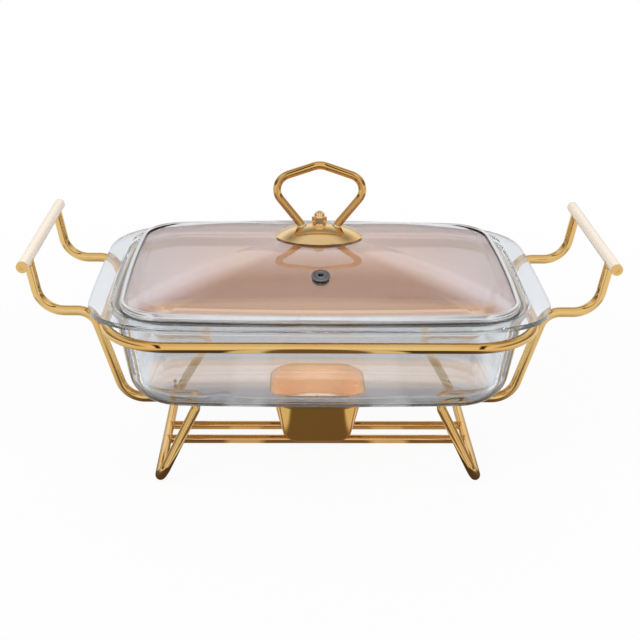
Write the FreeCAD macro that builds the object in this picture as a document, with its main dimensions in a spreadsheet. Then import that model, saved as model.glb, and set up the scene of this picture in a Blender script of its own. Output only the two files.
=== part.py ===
import FreeCAD, Part
import Sketcher
import math
import os

# Chafing dish: a glass baking dish with a domed glass lid, carried by a bent-rod
# stand over a candle cup. Millimetres, +Z up, origin on the table under the middle.
# X runs from grip to grip, Y from front (negative) to rear.

# Driving dimensions, each written once. The sheet takes them over as aliased cells.
SIZES = {
    # Stand: one bent rod per side
    "rod_diameter": 7.8,
    "riser_spacing": 120.0,        # between the front and rear risers
    "foot_flat": 0.3,              # depth of the flat that each foot bar stands on
    "grip_spacing": 444.0,
    "grip_height": 183.3,
    "grip_diameter": 9.0,
    "grip_length": 155.0,
    "grip_wall": 1.0,
    "riser_top_inset": 0.9,        # from the grip's axis inward to the riser's end
    "elbow_spacing": 428.0,
    "elbow_height": 141.6,
    "elbow_radius": 21.0,
    "shoulder_spacing": 350.0,
    "shoulder_radius": 16.0,
    "saddle_spacing": 305.0,
    "saddle_height": 67.45,
    "saddle_radius": 20.0,
    "leg_top_spacing": 187.0,
    "leg_top_radius": 7.5,
    "foot_spacing": 255.0,
    "foot_length": 170.0,
    "foot_radius": 11.0,
    # Stand: ring, cross rods and grip plugs
    "ring_diameter": 8.2,
    "ring_height": 135.1,
    "ring_gap": 1.16,              # between the dish's wall and the ring beside it
    "ring_corner": 52.0,
    "cross_rod_diameter": 7.3,
    "cross_rod_spacing": 25.0,
    "plug_flange": 0.8,
    "plug_length": 6.0,
    "plug_dimple": 3.4,
    "plug_dimple_depth": 0.5,
    # Candle cup
    "cup_base": 55.0,
    "cup_mouth": 74.0,
    "cup_lip": 81.0,
    "cup_height": 41.0,
    "cup_lip_height": 4.0,
    "cup_corner": 11.0,
    "cup_base_radius": 8.0,
    "cup_wall": 1.0,
    # Tealight
    "tin_diameter": 38.5,
    "tin_height": 16.0,
    "tin_wall": 0.5,
    "wax_height": 13.0,
    "sustainer_diameter": 13.0,
    "sustainer_gauge": 0.6,
    "sustainer_neck": 3.0,
    "wick_diameter": 1.8,
    "wick_length": 18.0,
    # Glass dish
    "rest_gap": 0.3,               # between the dish's base and the rods under it
    "base_half_length": 144.5,
    "base_half_width": 95.0,
    "base_corner": 40.0,
    "base_edge_radius": 22.0,
    "wall_top_drop": 10.0,         # from the crest down to the wall's top
    "wall_flare": 12.0,            # outward, from the base up to the wall's top
    "body_bow_x": 3.0,
    "body_bow_y": 4.0,
    "mouth_half_length": 148.0,
    "mouth_half_width": 100.5,
    "mouth_corner": 42.0,
    "hollow_taper": 11.5,          # inward, from the mouth down to the floor
    "glass_floor": 6.5,
    "floor_edge_radius": 16.0,
    "bead_step": 2.8,
    "bead_round": 2.2,
    "crest_height": 153.0,
    "crest_margin_x": 8.5,         # from the lid's edge out to the crest
    "crest_margin_y": 4.5,
    "crest_corner": 46.0,
    "crest_land": 1.2,
    "lug_slope_run": 22.0,
    "lug_slope_drop": 3.1,
    "lug_thickness": 4.0,
    "lug_half_length": 175.5,
    "lug_half_width": 113.5,
    "lug_corner": 55.0,
    "lug_bow_x": 2.5,
    "lug_bow_y": 5.5,
    "seat_depth": 1.2,             # from the crest down to the lid's seat
    "seat_clearance": 0.8,
    # Lid
    "lid_half_length": 150.0,
    "lid_half_width": 105.9,
    "lid_corner": 34.6,
    "lid_bow_x": 4.0,
    "lid_bow_y": 6.7,
    "band_height": 5.8,
    "band_gauge": 0.6,
    "band_flange": 4.3,
    "band_fit": 0.2,               # between the glass edge and the channel
    "lid_glass_thickness": 4.0,
    "dome_margin": 0.5,            # from the band's flange in to the dome's foot
    "dome_shoulder": 0.915,        # share of the lid's outline where the crown starts
    "dome_shoulder_rise": 3.4,
    "dome_crown_rise": 22.95,
    "dome_cap": 0.16,              # share of the shoulder taken by the dome's flat top
    "crown_corner": 46.0,          # added to the lid's corner, in full at the very top
    "crown_bow_x": 7.0,            # added to the bow of the sides in the same way
    "crown_bow_y": 12.0,
    "dome_inset": 0.016,           # share by which the crown's inside is drawn in
    "dome_foot_step": 2.0,         # by which the inside of the dome's foot is drawn in
    # Steam vent
    "vent_setback": 68.0,
    "vent_seat": 0.3,
    "vent_hole": 10.4,
    "vent_flange": 14.5,
    "vent_flange_gauge": 1.6,
    "vent_barrel": 7.6,
    "vent_bore": 4.2,
    "vent_ring": 13.0,
    "vent_ring_gauge": 1.2,
    # Knob
    "plate_length": 69.5,
    "plate_width": 47.6,
    "plate_crown": 9.9,
    "plate_gauge": 1.2,
    "plate_curve": 30.0,           # vertical half-axis of the plate's ellipsoid
    "gasket_gauge": 0.6,
    "gasket_inset": 1.0,
    "loop_wire": 6.4,
    "loop_foot_spacing": 20.1,
    "loop_shoulder_spacing": 84.5,
    "loop_shoulder_height": 227.4,
    "loop_shoulder_radius": 12.8,
    "loop_apex_height": 241.9,
    "loop_apex_radius": 15.8,
    "nut_washer_diameter": 11.2,
    "nut_washer_gauge": 0.8,
    "nut_hex_width": 11.9,
    "nut_hex_height": 4.9,
    "nut_dome_diameter": 8.9,
    "nut_dome_height": 5.0,
    "screw_diameter": 4.0,
    "screw_head_diameter": 9.0,
    "screw_head_height": 2.6,
    "screw_hole": 5.0,
    "screw_tip_gap": 0.5,
    "lower_washer_diameter": 18.0,
    "lower_washer_gauge": 1.2,
}

# Derived places, as expressions over the names above
FOOT_AXIS = "(rod_diameter / 2 - foot_flat)"
CROSS_ROD_AXIS = "(rod_diameter / 2)"
CUP_FLOOR = f"({CROSS_ROD_AXIS} + cross_rod_diameter / 2)"
DISH_BASE = "(saddle_height + rod_diameter / 2 + rest_gap)"
DISH_FLOOR = f"({DISH_BASE} + glass_floor)"
WALL_TOP = "(crest_height - wall_top_drop)"
LID_SEAT = "(crest_height - seat_depth)"
BAND_TOP = f"({LID_SEAT} + band_height)"
GLASS_EDGE_TOP = f"({BAND_TOP} - band_gauge - band_fit)"
DOME_TOP = (f"({GLASS_EDGE_TOP} + dome_shoulder_rise"
            " + dome_crown_rise * (1 - dome_cap ^ 2))")
PLATE_EDGE = f"({DOME_TOP} + gasket_gauge)"
PLATE_TOP = f"({PLATE_EDGE} + plate_crown)"
NUT_BASE = f"({PLATE_TOP} + nut_washer_gauge)"

# The dome's height, slope and thickness where the vent stands
CROWN_HALF_WIDTH = "((lid_half_width + lid_bow_y) * dome_shoulder)"
HOLLOW_HALF_WIDTH = "((lid_half_width + lid_bow_y) * (dome_shoulder - dome_inset))"
VENT_HEIGHT = (f"({GLASS_EDGE_TOP} + dome_shoulder_rise"
               f" + dome_crown_rise * (1 - (vent_setback / {CROWN_HALF_WIDTH}) ^ 2))")
VENT_TILT = f"atan(2 * dome_crown_rise * vent_setback / {CROWN_HALF_WIDTH} ^ 2)"
VENT_WALL = (f"((lid_glass_thickness + dome_crown_rise * vent_setback ^ 2"
             f" * (1 / {HOLLOW_HALF_WIDTH} ^ 2 - 1 / {CROWN_HALF_WIDTH} ^ 2))"
             f" * cos({VENT_TILT}))")

# Half the ring's width, beside the dish's wall at the ring's height
RING_HALF_WIDTH = (f"(base_half_width + body_bow_y + wall_flare * (ring_height - {DISH_BASE})"
                   f" / ({WALL_TOP} - {DISH_BASE}) + ring_gap + ring_diameter / 2)")

# Half the ring's length, so that it touches the inner side of the shoulder bends
RISER_LEAN = ("atan((shoulder_spacing - saddle_spacing) / 2"
              " / (elbow_height - saddle_height))")
SHOULDER_CENTRE = (f"(shoulder_spacing / 2"
                   f" + shoulder_radius * tan((90 deg - {RISER_LEAN}) / 2))")
RING_ABOVE_CENTRE = "(ring_height - elbow_height + shoulder_radius)"
RING_REACH = "(shoulder_radius + (rod_diameter + ring_diameter) / 2)"
RING_HALF_LENGTH = f"({SHOULDER_CENTRE} - sqrt({RING_REACH} ^ 2 - {RING_ABOVE_CENTRE} ^ 2))"

UP = FreeCAD.Vector(0, 0, 1)

doc = FreeCAD.newDocument("ChafingDish")
sheet = doc.addObject("Spreadsheet::Sheet", "Sizes")
nodes = []


def fill_sheet():
    """Write every driving dimension into the sheet, with its name beside it."""
    for row, (name, size) in enumerate(SIZES.items(), start=1):
        sheet.set(f"A{row}", name)
        sheet.set(f"B{row}", str(size))
        sheet.setAlias(f"B{row}", name)
    doc.recompute()


def value(expression):
    """The plain number that an expression over the sheet's names gives."""
    result = sheet.evalExpression(expression)
    return float(getattr(result, "Value", result))


def bind(item, attribute, expression):
    """Tie one attribute of an object to an expression over the sheet's names."""
    text = ""
    word = ""
    for letter in expression + " ":
        if letter.isalnum() or letter == "_":
            word += letter
            continue
        text += f"Sizes.{word}" if word in SIZES else word
        text += letter
        word = ""
    item.setExpression(attribute, text.strip())


def new_body(name, x="0", y="0", z="0", turn=FreeCAD.Rotation()):
    """A sub-part of its own, placed by expressions."""
    body = doc.addObject("PartDesign::Body", name)
    body.Label = name
    body.Placement = FreeCAD.Placement(FreeCAD.Vector(), turn)
    for axis, place in zip("xyz", (x, y, z)):
        bind(body, f"Placement.Base.{axis}", place)
    nodes.append(body)
    return body


def origin_plane(body, role):
    for plane in body.Origin.OriginFeatures:
        if plane.Role == role:
            return plane
    raise ValueError(role)


def attach(item, body, plane="XY_Plane", offset="0"):
    """Lay a sketch or primitive on one of the body's planes, moved along its normal."""
    item.AttachmentSupport = [(origin_plane(body, plane), "")]
    item.MapMode = "FlatFace"
    bind(item, "AttachmentOffset.Base.z", offset)
    return item


def new_sketch(body, name, plane="XY_Plane", offset="0"):
    return attach(body.newObject("Sketcher::SketchObject", name), body, plane, offset)


def primitive(body, kind, name, offset="0", **sizes):
    """An additive or subtractive primitive standing on the body's XY plane."""
    item = attach(body.newObject(f"PartDesign::{kind}", name), body, offset=offset)
    for attribute, size in sizes.items():
        bind(item, attribute, size)
    return item


def measured(sketch, label, kind, *places_and_size):
    """Add a named constraint whose size follows an expression."""
    *places, size = places_and_size
    index = sketch.addConstraint(Sketcher.Constraint(kind, *places, value(size)))
    sketch.renameConstraint(index, label)
    bind(sketch, f"Constraints.{label}", size)


def pin(sketch, label, item, point, x, y):
    """Hold a point of a sketch at bound distances from the origin."""
    for axis, kind, place in ((-2, "DistanceX", x), (-1, "DistanceY", y)):
        if place == "0":
            sketch.addConstraint(Sketcher.Constraint("PointOnObject", item, point, axis))
        elif place.startswith("-"):
            measured(sketch, f"{label}_{kind}", kind, item, point, -1, 1, place[1:])
        else:
            measured(sketch, f"{label}_{kind}", kind, -1, 1, item, point, place)


def add_circle(sketch, label, diameter, x="0", y="0"):
    centre = FreeCAD.Vector(value(x), value(y), 0)
    circle = sketch.addGeometry(Part.Circle(centre, UP, value(diameter) / 2), False)
    measured(sketch, f"{label}_diameter", "Diameter", circle, diameter)
    pin(sketch, label, circle, 3, x, y)


def add_rounded_rectangle(sketch, label, half_x, half_y, corner):
    """Four lines joined by four equal tangent arcs, centred on the origin."""
    hx, hy, r = value(half_x), value(half_y), value(corner)
    ix, iy = hx - r, hy - r
    quarter = math.pi / 2

    def line(x1, y1, x2, y2):
        ends = FreeCAD.Vector(x1, y1, 0), FreeCAD.Vector(x2, y2, 0)
        return sketch.addGeometry(Part.LineSegment(*ends), False)

    def arc(x, y, turn):
        circle = Part.Circle(FreeCAD.Vector(x, y, 0), UP, r)
        span = Part.ArcOfCircle(circle, turn * quarter, (turn + 1) * quarter)
        return sketch.addGeometry(span, False)

    east = line(hx, -iy, hx, iy)
    ne = arc(ix, iy, 0)
    north = line(ix, hy, -ix, hy)
    nw = arc(-ix, iy, 1)
    west = line(-hx, iy, -hx, -iy)
    sw = arc(-ix, -iy, 2)
    south = line(-ix, -hy, ix, -hy)
    se = arc(ix, -iy, 3)
    loop = [east, ne, north, nw, west, sw, south, se]
    for here, after in zip(loop, loop[1:] + loop[:1]):
        sketch.addConstraint(Sketcher.Constraint("Tangent", here, 2, after, 1))
    for side in (east, west):
        sketch.addConstraint(Sketcher.Constraint("Vertical", side))
    for end in (north, south):
        sketch.addConstraint(Sketcher.Constraint("Horizontal", end))
    for other in (nw, sw, se):
        sketch.addConstraint(Sketcher.Constraint("Equal", ne, other))
    measured(sketch, f"{label}_corner", "Radius", ne, corner)
    measured(sketch, f"{label}_east", "DistanceX", -1, 1, east, 1, half_x)
    measured(sketch, f"{label}_west", "DistanceX", west, 1, -1, 1, half_x)
    measured(sketch, f"{label}_north", "DistanceY", -1, 1, north, 1, half_y)
    measured(sketch, f"{label}_south", "DistanceY", south, 1, -1, 1, half_y)
    return len(loop)


def bowed_places(half_x, half_y, corner, bow_x, bow_y):
    """Side radii, their centres and the corner's centre of a bowed rectangle."""
    side_radius = (half_y ** 2 + bow_x ** 2) / (2 * bow_x)
    end_radius = (half_x ** 2 + bow_y ** 2) / (2 * bow_y)
    side_centre = half_x + bow_x - side_radius
    end_centre = half_y + bow_y - end_radius
    reach_side = side_radius - corner
    reach_end = end_radius - corner
    span = math.hypot(side_centre, end_centre)
    along = (reach_side ** 2 - reach_end ** 2 + span ** 2) / (2 * span)
    across = math.sqrt(reach_side ** 2 - along ** 2)
    step_x, step_y = -side_centre / span, end_centre / span
    corner_x = side_centre + along * step_x - across * step_y
    corner_y = along * step_y + across * step_x
    return side_radius, end_radius, side_centre, end_centre, corner_x, corner_y


def add_bowed_rectangle(sketch, label, outline):
    """A rounded rectangle whose four sides bow outward, tangent all the way round."""
    half_x, half_y, corner, bow_x, bow_y = outline
    rx, ry, cx, cy, px, py = bowed_places(*(value(size) for size in outline))
    r = value(corner)
    side_turn = math.atan2(py, px - cx)
    end_turn = math.atan2(py - cy, px)
    half_turn = math.pi

    def arc(x, y, radius, start, end):
        circle = Part.Circle(FreeCAD.Vector(x, y, 0), UP, radius)
        return sketch.addGeometry(Part.ArcOfCircle(circle, start, end), False)

    east = arc(cx, 0, rx, -side_turn, side_turn)
    ne = arc(px, py, r, side_turn, end_turn)
    north = arc(0, cy, ry, end_turn, half_turn - end_turn)
    nw = arc(-px, py, r, half_turn - end_turn, half_turn - side_turn)
    west = arc(-cx, 0, rx, half_turn - side_turn, half_turn + side_turn)
    sw = arc(-px, -py, r, half_turn + side_turn, half_turn + end_turn)
    south = arc(0, -cy, ry, half_turn + end_turn, 2 * half_turn - end_turn)
    se = arc(px, -py, r, 2 * half_turn - end_turn, 2 * half_turn - side_turn)
    loop = [east, ne, north, nw, west, sw, south, se]
    for here, after in zip(loop, loop[1:] + loop[:1]):
        sketch.addConstraint(Sketcher.Constraint("Tangent", here, 2, after, 1))
    for side in (east, west):
        sketch.addConstraint(Sketcher.Constraint("PointOnObject", side, 3, -1))
    for end in (north, south):
        sketch.addConstraint(Sketcher.Constraint("PointOnObject", end, 3, -2))
    for other in (nw, sw, se):
        sketch.addConstraint(Sketcher.Constraint("Equal", ne, other))
    sketch.addConstraint(Sketcher.Constraint("Equal", east, west))
    sketch.addConstraint(Sketcher.Constraint("Equal", north, south))
    side_radius = f"((({half_y}) ^ 2 + ({bow_x}) ^ 2) / (2 * ({bow_x})))"
    end_radius = f"((({half_x}) ^ 2 + ({bow_y}) ^ 2) / (2 * ({bow_y})))"
    side_set = f"({side_radius} - ({half_x}) - ({bow_x}))"
    end_set = f"({end_radius} - ({half_y}) - ({bow_y}))"
    measured(sketch, f"{label}_corner", "Radius", ne, corner)
    measured(sketch, f"{label}_side", "Radius", east, side_radius)
    measured(sketch, f"{label}_end", "Radius", north, end_radius)
    measured(sketch, f"{label}_east", "DistanceX", east, 3, -1, 1, side_set)
    measured(sketch, f"{label}_west", "DistanceX", -1, 1, west, 3, side_set)
    measured(sketch, f"{label}_north", "DistanceY", north, 3, -1, 1, end_set)
    measured(sketch, f"{label}_south", "DistanceY", -1, 1, south, 3, end_set)


LID = ("lid_half_length", "lid_half_width", "lid_corner", "lid_bow_x", "lid_bow_y")
CREST = ("(lid_half_length + crest_margin_x)", "(lid_half_width + crest_margin_y)",
         "crest_corner", "lid_bow_x", "lid_bow_y")
WALL_BASE = ("base_half_length", "base_half_width", "base_corner",
             "body_bow_x", "body_bow_y")
MOUTH = ("mouth_half_length", "mouth_half_width", "mouth_corner", "lid_bow_x", "lid_bow_y")
LUGS = ("lug_half_length", "lug_half_width", "lug_corner", "lug_bow_x", "lug_bow_y")


def grown(outline, step):
    """The same bowed outline moved outward all round."""
    half_x, half_y, radius, bow_x, bow_y = outline
    return (f"({half_x} + {step})", f"({half_y} + {step})", f"({radius} + {step})",
            bow_x, bow_y)


def scaled(outline, share):
    return tuple(f"({size} * {share})" for size in outline)


def bowed_sketch(body, name, height, *outlines):
    """A level sketch of one or more bowed outlines, one inside the other."""
    sketch = new_sketch(body, name, offset=height)
    for number, outline in enumerate(outlines, start=1):
        add_bowed_rectangle(sketch, f"loop{number}", outline)
    return sketch


def loft(body, name, sections, cut=False, ruled=True):
    """Join level sections, cutting them out of the body or adding them to it."""
    kind = "SubtractiveLoft" if cut else "AdditiveLoft"
    item = body.newObject(f"PartDesign::{kind}", name)
    item.Profile = sections[0]
    item.Sections = sections[1:]
    item.Ruled = ruled
    return item


def bowed_loft(body, name, levels, cut=False, ruled=True):
    """A loft through (height, outline) levels."""
    sections = [bowed_sketch(body, f"{name}_at_{number}", height, outline)
                for number, (height, outline) in enumerate(levels, start=1)]
    return loft(body, name, sections, cut, ruled)


def pad(body, name, sketch, length):
    item = body.newObject("PartDesign::Pad", name)
    item.Profile = sketch
    bind(item, "Length", length)
    return item


def through_pocket(body, name, sketch):
    item = body.newObject("PartDesign::Pocket", name)
    item.Profile = sketch
    item.Type = "ThroughAll"
    return item


def fillet_level(body, name, radius, height):
    """Round the level edges of the body's tip at one height of its own frame."""
    doc.recompute()
    base = body.Tip
    level = value(height)
    near = 0.01
    edges = [f"Edge{number}" for number, edge in enumerate(base.Shape.Edges, start=1)
             if abs(edge.BoundBox.ZMin - level) < near
             and abs(edge.BoundBox.ZMax - level) < near]
    if not edges:
        raise ValueError(f"{name} has no edges")
    item = body.newObject("PartDesign::Fillet", name)
    item.Base = (base, edges)
    bind(item, "Radius", radius)
    return item


def draft_walls(body, name, angle, low, high, hollow=False):
    """Lean the tip's walls that run from low to high outward, about their lower edges."""
    doc.recompute()
    base = body.Tip
    near = 0.01
    walls = [f"Face{number}" for number, face in enumerate(base.Shape.Faces, start=1)
             if abs(face.BoundBox.ZMin - value(low)) < near
             and abs(face.BoundBox.ZMax - value(high)) < near]
    if not walls:
        raise ValueError(f"{name} has no walls")
    plane = attach(body.newObject("PartDesign::Plane", f"{name}_plane"), body, offset=low)
    item = body.newObject("PartDesign::Draft", name)
    item.Base = (base, walls)
    item.NeutralPlane = (plane, [""])
    item.Reversed = not hollow
    bind(item, "Angle", angle)
    return item


def bent_wire(points, radii):
    """Straight runs through the points, joined by tangent arcs of the given radii."""
    edges = []
    start = points[0]
    for corner, after, radius in zip(points[1:], points[2:], radii):
        back = (start - corner).normalize()
        ahead = (after - corner).normalize()
        half = back.getAngle(ahead) / 2
        reach = radius / math.tan(half)
        arc_start = corner + back * reach
        arc_end = corner + ahead * reach
        centre_way = (back + ahead).normalize()
        arc_middle = corner + centre_way * (radius / math.sin(half) - radius)
        edges.append(Part.LineSegment(start, arc_start).toShape())
        edges.append(Part.Arc(arc_start, arc_middle, arc_end).toShape())
        start = arc_end
    edges.append(Part.LineSegment(start, points[-1]).toShape())
    return Part.Wire(edges)


def side_frame(name, side):
    """One rod: grip, riser, elbow, shoulder, saddle, leg and foot, then the same back."""
    riser_y = value("riser_spacing / 2")
    foot_y = value("foot_length / 2")
    grip_x = value("grip_spacing / 2")
    grip_z = value("grip_height")
    shoulder_z = value("elbow_height")
    saddle_z = value("saddle_height")
    half = [
        (grip_x - value("riser_top_inset"), riser_y, grip_z),
        (value("elbow_spacing / 2"), riser_y, shoulder_z),
        (value("shoulder_spacing / 2"), riser_y, shoulder_z),
        (value("saddle_spacing / 2"), riser_y, saddle_z),
        (value("leg_top_spacing / 2"), riser_y, saddle_z),
        (value("foot_spacing / 2"), foot_y, value(FOOT_AXIS)),
    ]
    bends = [value(f"{bend}_radius")
             for bend in ("elbow", "shoulder", "saddle", "leg_top", "foot")]
    points = [FreeCAD.Vector(side * x, -y, z) for x, y, z in half]
    points += [FreeCAD.Vector(side * x, y, z) for x, y, z in reversed(half)]
    path = bent_wire(points, bends + bends[::-1])
    first_run = (points[1] - points[0]).normalize()
    section = Part.Wire(Part.Circle(points[0], first_run, value("rod_diameter / 2")).toShape())
    rod = path.makePipeShell([section], True, False)
    grip_end = FreeCAD.Vector(side * grip_x, -foot_y, grip_z)
    grip_solid = Part.makeCylinder(value("grip_diameter / 2"), 2 * foot_y, grip_end,
                                   FreeCAD.Vector(0, 1, 0))
    reach = value("grip_spacing")
    below_table = Part.makeBox(2 * reach, 2 * reach, reach,
                               FreeCAD.Vector(-reach, -reach, -reach))
    frame = doc.addObject("Part::Feature", name)
    frame.Label = name
    frame.Shape = rod.cut(grip_solid).cut(below_table)
    frame.Placement = FreeCAD.Placement()
    nodes.append(frame)


def grip(name, side):
    """A tube lying front to rear across the tops of one frame's risers."""
    body = new_body(name, x=f"{side} * grip_spacing / 2", z="grip_height")
    sketch = new_sketch(body, f"{name}_section", "XZ_Plane")
    add_circle(sketch, "outer", "grip_diameter")
    add_circle(sketch, "inner", "(grip_diameter - 2 * grip_wall)")
    tube = pad(body, f"{name}_tube", sketch, "grip_length")
    tube.SideType = "Symmetric"


def grip_plug(name, side, end):
    """A flanged plug pressed into one end of a grip, with a shallow dimple."""
    outward = FreeCAD.Rotation(FreeCAD.Vector(1, 0, 0), -end * 90)
    body = new_body(name, x=f"{side} * grip_spacing / 2", y=f"{end} * grip_length / 2",
                    z="grip_height", turn=outward)
    primitive(body, "AdditiveCylinder", f"{name}_flange",
              Radius="grip_diameter / 2", Height="plug_flange")
    primitive(body, "AdditiveCylinder", f"{name}_barrel", offset="-plug_length",
              Radius="grip_diameter / 2 - grip_wall", Height="plug_length")
    primitive(body, "SubtractiveCylinder", f"{name}_dimple",
              offset="plug_flange - plug_dimple_depth",
              Radius="plug_dimple / 2", Height="plug_dimple")


def tube_along(body, name, spine, edges, diameter):
    """A round wire along a spine sketch, its section square to the first edge."""
    doc.recompute()
    section = body.newObject("Sketcher::SketchObject", f"{name}_section")
    section.AttachmentSupport = [(spine, "Edge1")]
    section.MapMode = "NormalToEdge"
    add_circle(section, "wire", diameter)
    doc.recompute()
    pipe = body.newObject("PartDesign::AdditivePipe", f"{name}_wire")
    pipe.Profile = section
    pipe.Spine = (spine, [f"Edge{number}" for number in range(1, edges + 1)])
    return pipe


def support_ring():
    """The closed rod around the dish, welded inside the four shoulders."""
    body = new_body("support_ring", z="ring_height")
    spine = new_sketch(body, "ring_spine")
    edges = add_rounded_rectangle(spine, "ring", RING_HALF_LENGTH, RING_HALF_WIDTH,
                                  "ring_corner")
    tube_along(body, "ring", spine, edges, "ring_diameter")


def cross_rod(name, side):
    """A rod between the two foot bars, its ends coped to them."""
    body = new_body(name, y=f"{side} * cross_rod_spacing / 2", z=CROSS_ROD_AXIS)
    sketch = new_sketch(body, f"{name}_section", "YZ_Plane")
    add_circle(sketch, "rod", "cross_rod_diameter")
    rod = pad(body, f"{name}_rod", sketch, "foot_spacing")
    rod.SideType = "Symmetric"
    for end, place in (("left", "-(foot_spacing / 2)"), ("right", "(foot_spacing / 2)")):
        section = new_sketch(body, f"{name}_{end}_section", "XZ_Plane")
        add_circle(section, "foot", "rod_diameter", x=place, y="-foot_flat")
        cope = through_pocket(body, f"{name}_{end}_cope", section)
        cope.SideType = "Symmetric"


def candle_cup():
    """A pressed cup, rounded square in plan, with a flared lip."""
    body = new_body("candle_cup", z=CUP_FLOOR)

    lip_start = "(cup_height - cup_lip_height)"
    mouth_corner = "(cup_corner + (cup_mouth - cup_base) / 2)"
    for name, level, length, width, corner, wider in (
            ("cup_sides", "0", lip_start, "cup_base", "cup_corner", "cup_mouth"),
            ("cup_lip_ring", lip_start, "cup_lip_height", "cup_mouth", mouth_corner, "cup_lip")):
        sketch = new_sketch(body, f"{name}_outline", offset=level)
        half = f"({width} / 2)"
        add_rounded_rectangle(sketch, "cup", half, half, corner)
        pad(body, name, sketch, length)
        draft_walls(body, f"{name}_draft", f"atan(({wider} - {width}) / 2 / {length})",
                    level, f"({level} + {length})")
    fillet_level(body, "cup_base_edge", "cup_base_radius", "0")
    doc.recompute()
    solid = body.Tip
    top = [f"Face{number}" for number, face in enumerate(solid.Shape.Faces, start=1)
           if face.BoundBox.ZMin > value("cup_height") - 0.01]
    shell = body.newObject("PartDesign::Thickness", "cup_shell")
    shell.Base = (solid, top)
    shell.Reversed = True
    bind(shell, "Value", "cup_wall")


def tealight():
    """A loose tealight: tin, wax, wick and the little plate that holds the wick."""
    floor = f"({CUP_FLOOR} + cup_wall)"
    tin = new_body("tealight_tin", z=floor)
    primitive(tin, "AdditiveCylinder", "tin_outside",
              Radius="tin_diameter / 2", Height="tin_height")
    primitive(tin, "SubtractiveCylinder", "tin_inside", offset="tin_wall",
              Radius="tin_diameter / 2 - tin_wall", Height="tin_height")
    inside = f"({floor} + tin_wall)"
    plate = new_body("wick_sustainer", z=inside)
    primitive(plate, "AdditiveCylinder", "sustainer_disc",
              Radius="sustainer_diameter / 2", Height="sustainer_gauge")
    primitive(plate, "AdditiveCylinder", "sustainer_tube",
              Radius="wick_diameter", Height="sustainer_neck")
    primitive(plate, "SubtractiveCylinder", "sustainer_bore", offset="sustainer_gauge",
              Radius="wick_diameter / 2", Height="sustainer_neck")
    wax = new_body("tealight_wax", z=inside)
    primitive(wax, "AdditiveCylinder", "wax_block",
              Radius="tin_diameter / 2 - tin_wall", Height="wax_height")
    primitive(wax, "SubtractiveCylinder", "wax_wick_hole",
              Radius="wick_diameter / 2", Height="wax_height")
    primitive(wax, "SubtractiveCylinder", "wax_disc_recess",
              Radius="sustainer_diameter / 2", Height="sustainer_gauge")
    primitive(wax, "SubtractiveCylinder", "wax_neck_recess",
              Radius="wick_diameter", Height="sustainer_neck")
    wick = new_body("tealight_wick", z=f"{inside} + sustainer_gauge")
    primitive(wick, "AdditiveCylinder", "wick_cord",
              Radius="wick_diameter / 2", Height="wick_length")


def glass_dish():
    """The pressed baking dish: tapered body, beaded rim, crest, lid seat and two lugs."""
    body = new_body("glass_dish")
    slope_foot = "(crest_height - lug_slope_drop)"
    slope_underside = f"({slope_foot} - lug_thickness)"
    outer_slope = grown(CREST, "lug_slope_run")
    bowed_loft(body, "rim_slope", [(slope_underside, outer_slope),
                                   (slope_foot, outer_slope),
                                   ("crest_height", CREST)])
    bowed_loft(body, "rim_underside", [(slope_underside, outer_slope),
                                       ("(crest_height - lug_thickness)", CREST)], cut=True)
    trim = bowed_sketch(body, "lug_outline", "crest_height", LUGS)
    add_rounded_rectangle(trim, "blank", "(lug_half_length * 2)", "(lug_half_length * 2)",
                          "lug_corner")
    through_pocket(body, "lug_trim", trim)
    bead = bowed_sketch(body, "bead_outline", WALL_TOP,
                        grown(WALL_BASE, "(wall_flare + bead_step)"))
    pad(body, "bead", bead, "wall_top_drop - lug_thickness / 2")
    fillet_level(body, "bead_edge", "bead_round", WALL_TOP)
    wall_height = f"({WALL_TOP} - {DISH_BASE})"
    pad(body, "dish_wall", bowed_sketch(body, "wall_outline", DISH_BASE, WALL_BASE), wall_height)
    draft_walls(body, "wall_draft", f"atan(wall_flare / {wall_height})",
                DISH_BASE, WALL_TOP)
    fillet_level(body, "base_edge", "base_edge_radius", DISH_BASE)
    bowed_loft(body, "lid_seat", [(LID_SEAT, grown(LID, "seat_clearance")),
                                  ("crest_height", grown(CREST, "-crest_land"))], cut=True)
    hollow_depth = f"({LID_SEAT} - {DISH_FLOOR})"
    floor = bowed_sketch(body, "floor_outline", DISH_FLOOR, grown(MOUTH, "-hollow_taper"))
    hollow = body.newObject("PartDesign::Pocket", "dish_hollow")
    hollow.Profile = floor
    hollow.Reversed = True
    bind(hollow, "Length", hollow_depth)
    draft_walls(body, "hollow_draft", f"atan(hollow_taper / {hollow_depth})",
                DISH_FLOOR, LID_SEAT, hollow=True)
    fillet_level(body, "floor_edge", "floor_edge_radius", DISH_FLOOR)


def band_wall(body, name, height, length, outer, inner):
    """One wall of the rim band: the space between two outlines."""
    pad(body, name, bowed_sketch(body, f"{name}_outline", height, outer, inner), length)


def lid_rim_band():
    """The steel channel rolled around the glass edge: a web and two flanges."""
    body = new_body("lid_rim_band")
    flange_edge = grown(LID, "-band_flange")
    band_wall(body, "band_web", LID_SEAT, "band_height", LID, grown(LID, "-band_gauge"))
    band_wall(body, "lower_flange", LID_SEAT, "band_gauge", LID, flange_edge)
    band_wall(body, "upper_flange", f"({BAND_TOP} - band_gauge)", "band_gauge", LID, flange_edge)


def crown_outline(part, share):
    """The lid's outline scaled to one level of the dome, rounder the nearer the top."""
    near_top = f"(1 - {part})"
    bow_x = f"(lid_bow_x + {near_top} * crown_bow_x)"
    bow_y = f"(lid_bow_y + {near_top} * crown_bow_y)"
    rounder = (f"(lid_half_length + lid_bow_x - {bow_x})",
               f"(lid_half_width + lid_bow_y - {bow_y})",
               f"(lid_corner + {near_top} * crown_corner)", bow_x, bow_y)
    return scaled(rounder, f"({part} * {share})")


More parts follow.
